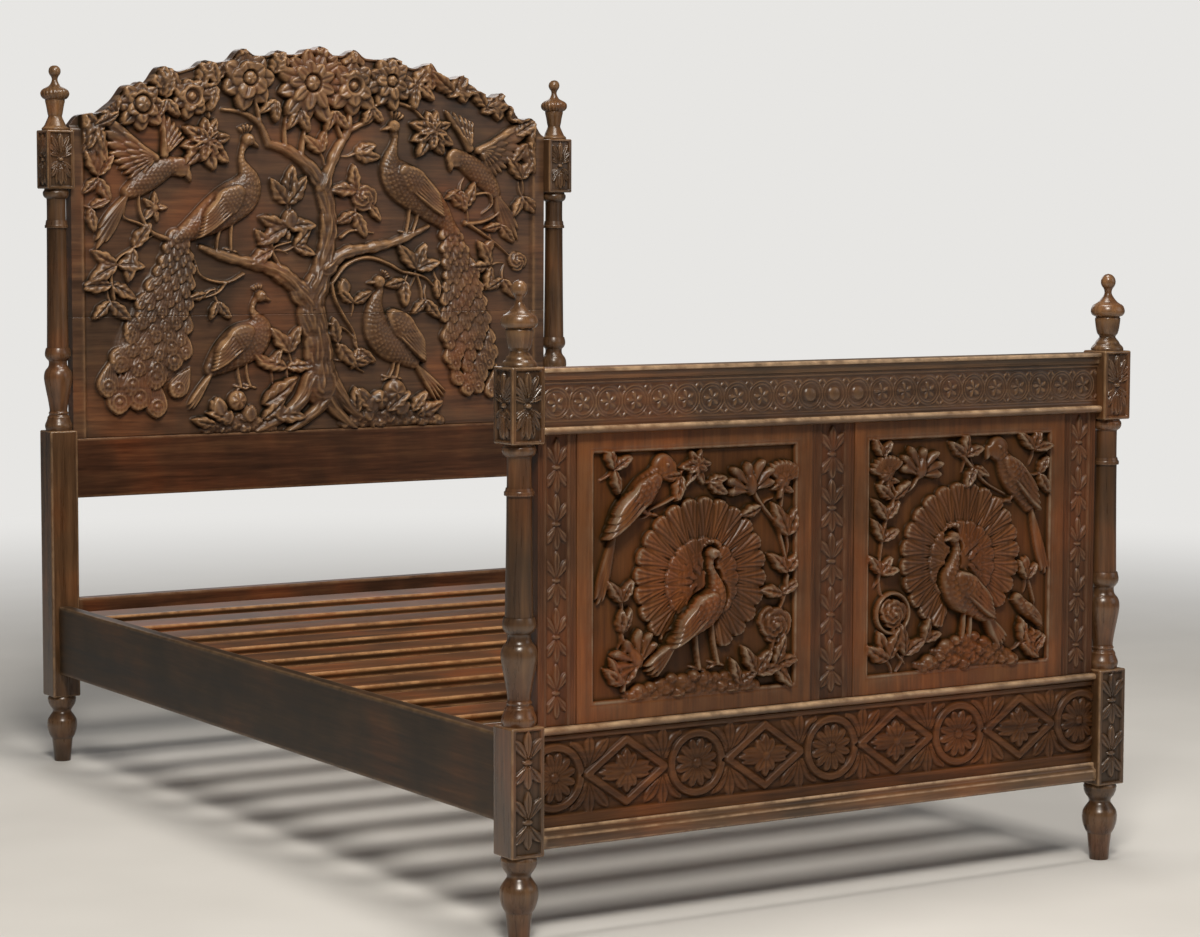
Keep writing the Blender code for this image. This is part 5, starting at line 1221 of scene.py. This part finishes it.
def draw_band(relief):
    """Rosettes and lozenges in turn, with spreading leaves in the spaces over and under them."""
    middle = (band_low + band_high) / 2 + 4
    step, half_width, half_height, ring_radius = 147.5, 80, 55, 53
    for index in range(-5, 6, 2):
        for side in (-1, 1):
            root = index * step + side * (half_width - 4)
            for up in (-1, 1):
                for lean, reach in ((-60, 48), (60, 48), (-32, 62), (32, 62), (0, 58)):
                    blade(relief, root, middle + up * 12, reach, 24, up * 90 + lean, band_sink * 0.95,
                          widest=0.66, blunt=0.8, rib=0.28, fold=0.7, bend=0.12 * np.sign(lean))
    for index in range(-4, 5):
        x = index * step
        if index % 2:
            away = np.abs(relief.x - x) / half_width + np.abs(relief.y - middle) / half_height
            relief.height = np.where(away < 1.20, 0.0, relief.height)
            lozenge(relief, x, middle, half_width, half_height, band_sink)
        else:
            away = np.hypot(relief.x - x, relief.y - middle)
            relief.height = np.where(away < ring_radius * 1.19, 0.0, relief.height)
            rosette(relief, x, middle, ring_radius, 12, band_sink)


def make_bottom_rail():
    """The lower rail with its carved band, plain behind the base moulding and cut back behind the ledge."""
    relief = Relief(-board_half, board_half, bottom_rail_low, bottom_rail_high - fit, band_cell)
    draw_band(relief)
    relief.tone -= band_dullness
    inside = np.minimum(relief.y - band_low - 18, band_high - relief.y - 10)
    lip = 1.0 - ease(inside / 2.5)
    relief.height = np.maximum(relief.height * (inside > -3), band_sink * lip)
    rebate = relief.y > band_high - 0.8
    relief.height = np.where(rebate, band_sink - ledge_depth - 2 * fit, relief.height)
    add_carved("footboard_bottom_rail", relief, front_y + band_sink, footboard_back, band_x)


def draw_guilloche(relief):
    """A row of interlaced double rings with a small flower in each and bosses in the middle three."""
    middle = (guilloche_low + guilloche_high) / 2
    count = 23
    pitch = 2 * (board_half - 8) / count
    for index in range(count):
        x = (index + 0.5 - count / 2) * pitch
        ring(relief, x, middle, pitch * 0.50, 2.0, guilloche_sink * 0.55, 0.4)
        ring(relief, x, middle, pitch * 0.40, 1.8, guilloche_sink * 0.5, 0.4)
        if abs(index - count // 2) <= 1:
            dome(relief, x, middle, pitch * 0.27, 5.2)
        else:
            for petal in range(5):
                blade(relief, x, middle, 17, 10, 72.0 * petal + 18, guilloche_sink * 0.8, widest=0.62,
                      blunt=0.6, rib=0.0, tilt=0.35, bend=0.2)
            dome(relief, x, middle, 3.4, guilloche_sink * 0.4, guilloche_sink * 0.4)
        for up in (-1, 1):
            for lean in (-40, 40):
                blade(relief, x + pitch / 2, middle + up * 29, 16, 6.2, -90 * up + lean,
                      guilloche_sink * 0.7, rib=0.0)


def make_top_rail():
    """The upper rail with its band of linked rings."""
    relief = Relief(-board_half, board_half, top_rail_low, top_rail_high, top_rail_cell)
    draw_guilloche(relief)
    inside = np.minimum(relief.y - guilloche_low - 4, guilloche_high - relief.y)
    lip = 1.0 - ease((inside - 6) / 2)
    groove = 1.2 * np.exp(-((inside - 3.0) / 0.9) ** 2)
    relief.height = np.maximum(relief.height * (inside > 5), guilloche_sink * 0.8 * lip - groove)
    add_carved("footboard_top_rail", relief, front_y + guilloche_sink, footboard_back, carved_x)


# Posts, finials and straight pieces


class Shell:
    """Closed shapes gathered into one mesh, with how worn and how lit each corner is painted."""

    def __init__(self):
        self.points, self.faces, self.wear_and_light = [], [], []

    def add_rings(self, rings, wear_and_light):
        """Join rings of points into a tube, bottom to top, and close both ends."""
        count, first = len(rings[0]), len(self.points)
        for low in range(first, first + (len(rings) - 1) * count, count):
            for index in range(count):
                after = (index + 1) % count
                self.faces.append((low + index, low + after, low + count + after, low + count + index))
        self.points += [point for ring_points in rings for point in ring_points]
        self.faces.append(tuple(range(first + count - 1, first - 1, -1)))
        self.faces.append(tuple(range(len(self.points) - count, len(self.points))))
        self.wear_and_light += [float(value) for value in np.ravel(wear_and_light)]

    def add_piece(self, name, replaced, finish, slot):
        """Put the shapes in the scene as one piece, smooth but for its sharp edges."""
        mesh = mesh_of(name, self.points, self.faces, self.wear_and_light)
        mesh.shade_smooth()
        mesh.set_sharp_from_angle(angle=math.radians(50))
        add_piece(mesh, replaced, finish)


def turn_profile(shell, x, y, base, profile, flutes=None, segments=56):
    """Turn a profile of radius and height round an upright axis.

    flutes are a count, a depth share and the span of heights they cover.
    """
    path = curve_through(profile, 5)
    radii, heights = np.maximum(path[:, 0], 0.4), np.maximum(path[:, 1], profile[0][1])
    # Painted light: rings that stand out are painted paler as highlight and wear, hollows darker as shade
    smooth = np.convolve(np.pad(radii, 6, mode="edge"), np.full(13, 1 / 13), "valid")
    exposed = np.clip(0.5 + (radii - smooth) / 10, 0.05, 0.95)
    turn = 2 * math.pi * np.arange(segments) / segments
    rings, wear_and_light = [], []
    for radius, height, shine in zip(radii, heights, exposed):
        around = np.full(segments, radius)
        if flutes:
            count, depth, low, high = flutes
            share = ease((height - low) / 6) * ease((high - height) / 6)
            around = radius * (1.0 - depth * share * (0.5 + 0.5 * np.cos(count * turn + 0.110 * height)))
        sides = zip(x + around * np.cos(turn), y + around * np.sin(turn))
        rings.append([(side_x, side_y, base + height) for side_x, side_y in sides])
        # Flutes are painted darker, as shade in them
        wear_and_light.append(shine - 0.075 * (radius - around))
    shell.add_rings(rings, wear_and_light)


def block(shell, x, y, low, high, drawings):
    """A square block with eased edges; drawings carve the faces named by their number round the block."""
    # The block's edges are painted pale as wear and highlight
    chamfer, border, edge_wear_and_highlight = 2.2, 5.0, 0.80
    reach = post_half - chamfer
    columns, wear_and_light = [], []
    for number in range(4):
        turn = number * math.pi / 2
        normal = np.array((math.sin(turn), -math.cos(turn)))
        tangent = np.array((math.cos(turn), math.sin(turn)))
        relief = Relief(-reach, reach, low + chamfer, high - chamfer, block_cell)
        levels, rows = relief.y[:, 0], relief.rows
        if number in drawings:
            drawings[number](relief, low, high)
            inside = np.minimum(reach - np.abs(relief.x), np.minimum(relief.y - low, high - relief.y))
            lip = 1.0 - ease((inside - border) / 2.5)
            relief.height = np.maximum(relief.height * (inside > border), block_sink * lip)
            across, offsets, shine = relief.x[0], relief.height - block_sink, wear_and_painted_light(relief)
        else:
            across = np.array((-reach, 4 - reach, 0.0, reach - 4, reach))
            offsets, shine = np.zeros((rows + 1, 5)), np.full((rows + 1, 5), 0.5)
        shine[:, (0, -1)] = edge_wear_and_highlight
        columns += [(normal, tangent * u, offsets[:, index]) for index, u in enumerate(across)]
        wear_and_light += list(shine.T)
    wear_and_light = np.array(wear_and_light).T
    wear_and_light[(0, -1), :] = edge_wear_and_highlight
    rings = []
    for row in range(-1, rows + 2):
        at = min(max(row, 0), rows)
        z = levels[at] + chamfer * (row - at)
        half = post_half - chamfer * abs(row - at)
        places = [normal * (half + offset[at]) + side for normal, side, offset in columns]
        rings.append([(x + place[0], y + place[1], z) for place in places])
    shell.add_rings(rings, np.vstack([wear_and_light[:1], wear_and_light, wear_and_light[-1:]]))


def draw_palmettes(relief, low, high):
    """Two leaf sprays, up and down, tied at the middle."""
    middle, half = (low + high) / 2, (high - low) / 2
    for up in (-1, 1):
        for lean, share, wide in ((-58, 0.50, 11), (58, 0.50, 11), (-36, 0.70, 12.5), (36, 0.70, 12.5),
                                  (-17, 0.84, 13), (17, 0.84, 13), (0, 0.88, 15)):
            blade(relief, 0.0, middle + up * 2, half * share, wide, up * 90 + lean, block_sink * 1.20,
                  block_sink * (0.25 if lean == 0 else 0.0), widest=0.66, rib=0.36, fold=0.45,
                  bend=0.10 * np.sign(lean) * up)
    dome(relief, 0.0, middle, 7, block_sink * 0.8, block_sink * 0.5, flat=1.5)
    relief.tone -= palmette_dullness


def draw_husks(relief, low, high):
    """Two tied husks, one over the other, darkened and dulled."""
    bow_husks(relief, 0.0, high - 8, low + 10, 46, block_sink, 2)
    relief.tone -= husk_dullness


def make_posts():
    """The four posts with their turned feet and columns and carved blocks, and the finials on top."""
    overlap = 6
    for side_label, side in (("left", -1), ("right", 1)):
        outer_face = 1 if side > 0 else 3
        for end, y, levels, finial, flutes, low_carving in (
                ("head", post_y, head_levels, head_finial_profile, (22, 0.07, 66, 99), {}),
                ("foot", -post_y, foot_levels, foot_finial_profile, None, {0: draw_husks})):
            x = side * post_x
            low_top, high_low, high_top = levels
            span = high_low - low_top
            post = Shell()
            turn_profile(post, x, y, 0.0, foot_profile + [(26.0, foot_height + overlap)])
            block(post, x, y, foot_height, low_top, low_carving)
            capital = [(radius, height + span) for radius, height in capital_profile]
            column = [(28.0, -overlap)] + vase_profile + capital + [(25.0, span + overlap)]
            turn_profile(post, x, y, low_top, column)
            block(post, x, y, high_low, high_top, {0: draw_palmettes, outer_face: draw_palmettes})
            name = f"{end}_post_{side_label}"
            post.add_piece("turned_" + name, name, post_z, "post_walnut")
            top = Shell()
            turn_profile(top, x, y, high_top + fit, finial, flutes, segments=96)
            name = f"{end}_finial_{side_label}"
            top.add_piece("turned_" + name, name, lit_finial_z, "carved_walnut")


def eased_box(side_low, side_high, up_low, up_high, easing, flank_shade=0.5):
    """The section of a bar with rounded edges painted pale as wear and highlight, as side, up and painted
    wear and light; the flank value is how its sides are painted, low for painted shade.
    """
    points = []
    corners = ((side_high, up_low, -90), (side_high, up_high, 0),
               (side_low, up_high, 90), (side_low, up_low, 180))
    flat = 4
    for side, up, start in corners:
        middle = (side - math.copysign(easing, side - (side_low + side_high) / 2),
                  up - math.copysign(easing, up - (up_low + up_high) / 2))
        before, after = (flank_shade, 0.5) if start in (0, 180) else (0.5, flank_shade)
        edge = [(*place_from(*middle, start + step, easing), 0.85) for step in (0, 22.5, 45, 67.5, 90)]
        points.append((*place_from(*edge[0][:2], start - 90, flat), before))
        points += edge
        points.append((*place_from(*edge[-1][:2], start + 180, flat), after))
    return points


def bar(name, section, along, low, high, finish, slot, easing=2.0):
    """A straight piece: one section run along X or Y between two places, with eased ends."""
    points = np.array(section)
    middle = points[:, :2].mean(axis=0)
    span = np.abs(points[:, :2] - middle).max(axis=0)
    end = 12
    rings, wear_and_light = [], []
    # The eased ends are painted pale as wear and highlight
    for place, shrink, shine in ((low, easing, 0.6), (low + easing, 0.0, 0.75), (low + end, 0.0, 0.0),
                                 (high - end, 0.0, 0.0), (high - easing, 0.0, 0.75), (high, easing, 0.6)):
        drawn = middle + (points[:, :2] - middle) * (1.0 - shrink / span)
        worn_and_highlit = np.maximum(points[:, 2], shine)
        if along == "X":
            rings.append([(place, side, up) for side, up in drawn])
            wear_and_light.append(worn_and_highlit)
        else:
            rings.append([(side, place, up) for side, up in drawn[::-1]])
            wear_and_light.append(worn_and_highlit[::-1])
    shell = Shell()
    shell.add_rings(rings, wear_and_light)
    shell.add_piece("eased_" + name, name, finish, slot)


def nose_section(front, back, low, high):
    """A moulding with a half-round nose towards -y."""
    radius, middle = (high - low) / 2, (high + low) / 2
    nose = []
    for angle in range(90, 271, 15):
        side, up = place_from(front + radius, middle, angle, radius)
        # The nose is painted paler towards its top, as highlight and wear
        nose.append((side, up, 0.55 + 0.35 * max(0.0, math.sin(math.radians(angle)) + 0.3)))
    return [(back, low, 0.45), (back, high, 0.5)] + nose


def make_bars():
    """Side rails, ledgers, slats and head rails."""
    for label, side in (("left", -1), ("right", 1)):
        low, high = sorted((side * rail_inner, side * rail_outer))
        section = eased_box(low, high, rail_low, rail_high, 4)
        bar(f"side_rail_{label}", section, "Y", -rail_half, rail_half, rail_y, "side_rail_wood")
        low, high = sorted((side * ledger_inner, side * ledger_outer))
        section = eased_box(low, high, ledger_low, ledger_high, 3)
        bar(f"slat_ledger_{label}", section, "Y", -ledger_half, ledger_half, rail_y, "side_rail_wood")
    for index in range(slat_count):
        front = slat_pitch * (slat_count / 2 - index - 0.5) - slat_width / 2
        # The slats' sides are painted dark: painted shade between the slats
        section = eased_box(front, front + slat_width, slat_low, slat_high, 4, flank_shade=0.12)
        bar(f"slat_{index + 1:02d}", section, "X", -slat_half, slat_half, slat_x, "slat_wood")
    section = eased_box(head_rail_front, head_rail_back, head_rail_low, head_rail_high, 4)
    bar("head_rail", section, "X", -board_half, board_half, red_x, "red_walnut")
    section = eased_box(board_rail_front, board_rail_back, board_rail_low, board_rail_high, 3)
    bar("headboard_rail", section, "X", -board_half, board_half, red_x, "post_walnut")


def make_mouldings():
    """The footboard's mouldings, from sections of y, z and painted wear and light: pale along the upper edges
    as highlight and wear, dark in the hollows under them as shade.
    """
    back = front_y - fit
    base_front = back - base_depth
    base = [(back, 160, 0.4), (back, 195, 0.5), (back - 4, 195, 0.9), (back - 5.2, 192.5, 0.8),
            (back - 5.6, 188, 0.4), (back - 7, 184, 0.35), (base_front + 2.4, 182, 0.6),
            (base_front + 0.6, 179.5, 0.75), (base_front, 177, 0.5), (base_front, 166, 0.45),
            (base_front + 0.8, 163, 0.72), (base_front + 3, 160, 0.5)]
    cap = [(cap_back, cap_low, 0.5), (cap_back, cap_high, 0.7), (cap_back - 3.5, cap_high, 0.5),
           (cap_front + 7.5, cap_high, 0.6)]
    cap += [(cap_front + inward, cap_high - down, wear_and_light) for inward, down, wear_and_light in (
        (2.5, 0, 0.95), (0.6, 0.8, 1.0), (0, 3.2, 0.95), (0.6, 6.2, 0.9), (2.2, 7.6, 0.5), (4.6, 9.2, 0.35),
        (6.2, 12.2, 0.35), (6.8, 16, 0.5), (7.2, 20, 0.55))]
    bead = nose_section(back - bead_depth, back, top_rail_low, guilloche_low)
    ledge = nose_section(front_y - ledge_depth, front_y + ledge_depth, band_high, bottom_rail_high)
    for name, section in (("cap", cap), ("bead", bead), ("ledge", ledge), ("base", base)):
        bar(f"footboard_{name}_moulding", section, "X", -board_half, board_half, moulding_x, "carved_walnut",
            easing=0.5)


make_headboard()
make_panels()
make_uprights()
make_bottom_rail()
make_top_rail()
make_posts()
make_bars()
make_mouldings()

for name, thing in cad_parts.items():
    if "_plate_" in name:
        thing.data.materials.clear()
        thing.data.materials.append(iron_finish)


# Floor, light and camera, in metres
backdrop = (0.80, 0.79, 0.77)


def make_floor():
    """A wide pale floor that fades into the backdrop far from the bed."""
    mesh = bpy.data.meshes.new("studio_floor")
    bm = bmesh.new()
    bmesh.ops.create_circle(bm, cap_ends=True, segments=64, radius=16.0)
    bm.to_mesh(mesh)
    bm.free()
    floor = bpy.data.objects.new("studio_floor", mesh)
    bpy.context.scene.collection.objects.link(floor)
    material, tree, shader = new_material("pale_floor")
    places = node(tree, "ShaderNodeTexCoord"), "Object"
    tint = ramp(tree, noise(tree, places, 2.5, 2.0), [(0.3, (0.66, 0.65, 0.63)), (0.7, (0.70, 0.69, 0.67))])
    connect(tree, shader, {"Base Color": tint, "Roughness": 0.85, "Specular IOR Level": 0.1})
    away = node(tree, "ShaderNodeVectorMath", {0: places}, operation="LENGTH"), "Value"
    fade = spread(tree, away, 0.0, 1.0, 2.2, 6.5, "SMOOTHSTEP")
    seen = maths(tree, "MULTIPLY", fade, (node(tree, "ShaderNodeLightPath"), "Is Camera Ray"))
    glow = node(tree, "ShaderNodeEmission", {"Color": (*backdrop, 1.0)}), "Emission"
    mixed = node(tree, "ShaderNodeMixShader", {0: seen, 1: (shader, "BSDF"), 2: glow}), "Shader"
    connect(tree, tree.nodes["Material Output"], {"Surface": mixed})
    mesh.materials.append(material)


def make_world():
    """Even dim light from all round, with a pale backdrop where the camera sees it."""
    world = bpy.data.worlds.new("studio")
    bpy.context.scene.world = world
    world.use_nodes = True
    tree = world.node_tree
    sky = tree.nodes["Background"]
    connect(tree, sky, {"Color": (1.0, 0.97, 0.93, 1.0), "Strength": 0.11})
    seen = node(tree, "ShaderNodeLightPath"), "Is Camera Ray"
    pale = node(tree, "ShaderNodeBackground", {"Color": (*backdrop, 1.0)}), "Background"
    mixed = node(tree, "ShaderNodeMixShader", {0: seen, 1: (sky, "Background"), 2: pale}), "Shader"
    connect(tree, tree.nodes["World Output"], {"Surface": mixed})


def make_lamp(name, place, target, size, power, colour=(1.0, 1.0, 1.0)):
    """A soft square lamp aimed at a point."""
    lamp = bpy.data.lights.new(name, "AREA")
    lamp.size = size
    lamp.energy = power
    lamp.color = colour
    holder = bpy.data.objects.new(name, lamp)
    holder.location = place
    holder.rotation_euler = (Vector(target) - Vector(place)).to_track_quat("-Z", "Y").to_euler()
    bpy.context.scene.collection.objects.link(holder)


def make_camera():
    """The photograph's viewpoint, from a fit to the posts and rails."""
    yaw, pitch, roll = math.radians(32.09), math.radians(4.75), math.radians(0.168)
    place = (-3.2835, -5.4750, 1.2456)
    focal_pixels, photo_width = 3054.94, 1200.0
    forward = Vector((math.sin(yaw) * math.cos(pitch), math.cos(yaw) * math.cos(pitch), -math.sin(pitch)))
    right = Vector((math.cos(yaw), -math.sin(yaw), 0.0))
    up = right.cross(forward)
    across = right * math.cos(roll) + up * math.sin(roll)
    upward = up * math.cos(roll) - right * math.sin(roll)
    lens = bpy.data.cameras.new("photo_view")
    lens.sensor_width = 36.0
    lens.lens = lens.sensor_width * focal_pixels / photo_width
    holder = bpy.data.objects.new("photo_view", lens)
    turn = Matrix((across, upward, -forward)).transposed()
    holder.matrix_world = Matrix.Translation(place) @ turn.to_4x4()
    bpy.context.scene.collection.objects.link(holder)
    bpy.context.scene.camera = holder


make_floor()
make_world()
make_lamp("key_lamp", (-2.4, -4.4, 4.8), (0.0, 0.0, 0.6), 1.3, 265.0, (1.0, 0.94, 0.85))
make_lamp("fill_lamp", (3.4, -3.8, 2.4), (0.0, -0.4, 0.6), 2.4, 18.0)
make_lamp("back_lamp", (1.6, 5.0, 3.2), (0.0, 0.6, 0.8), 2.4, 34.0)
make_lamp("top_lamp", (0.2, -0.8, 4.3), (0.0, 0.6, 0.9), 1.6, 100.0, (1.0, 0.94, 0.86))
make_camera()
bpy.context.scene.view_settings.view_transform = "Standard"
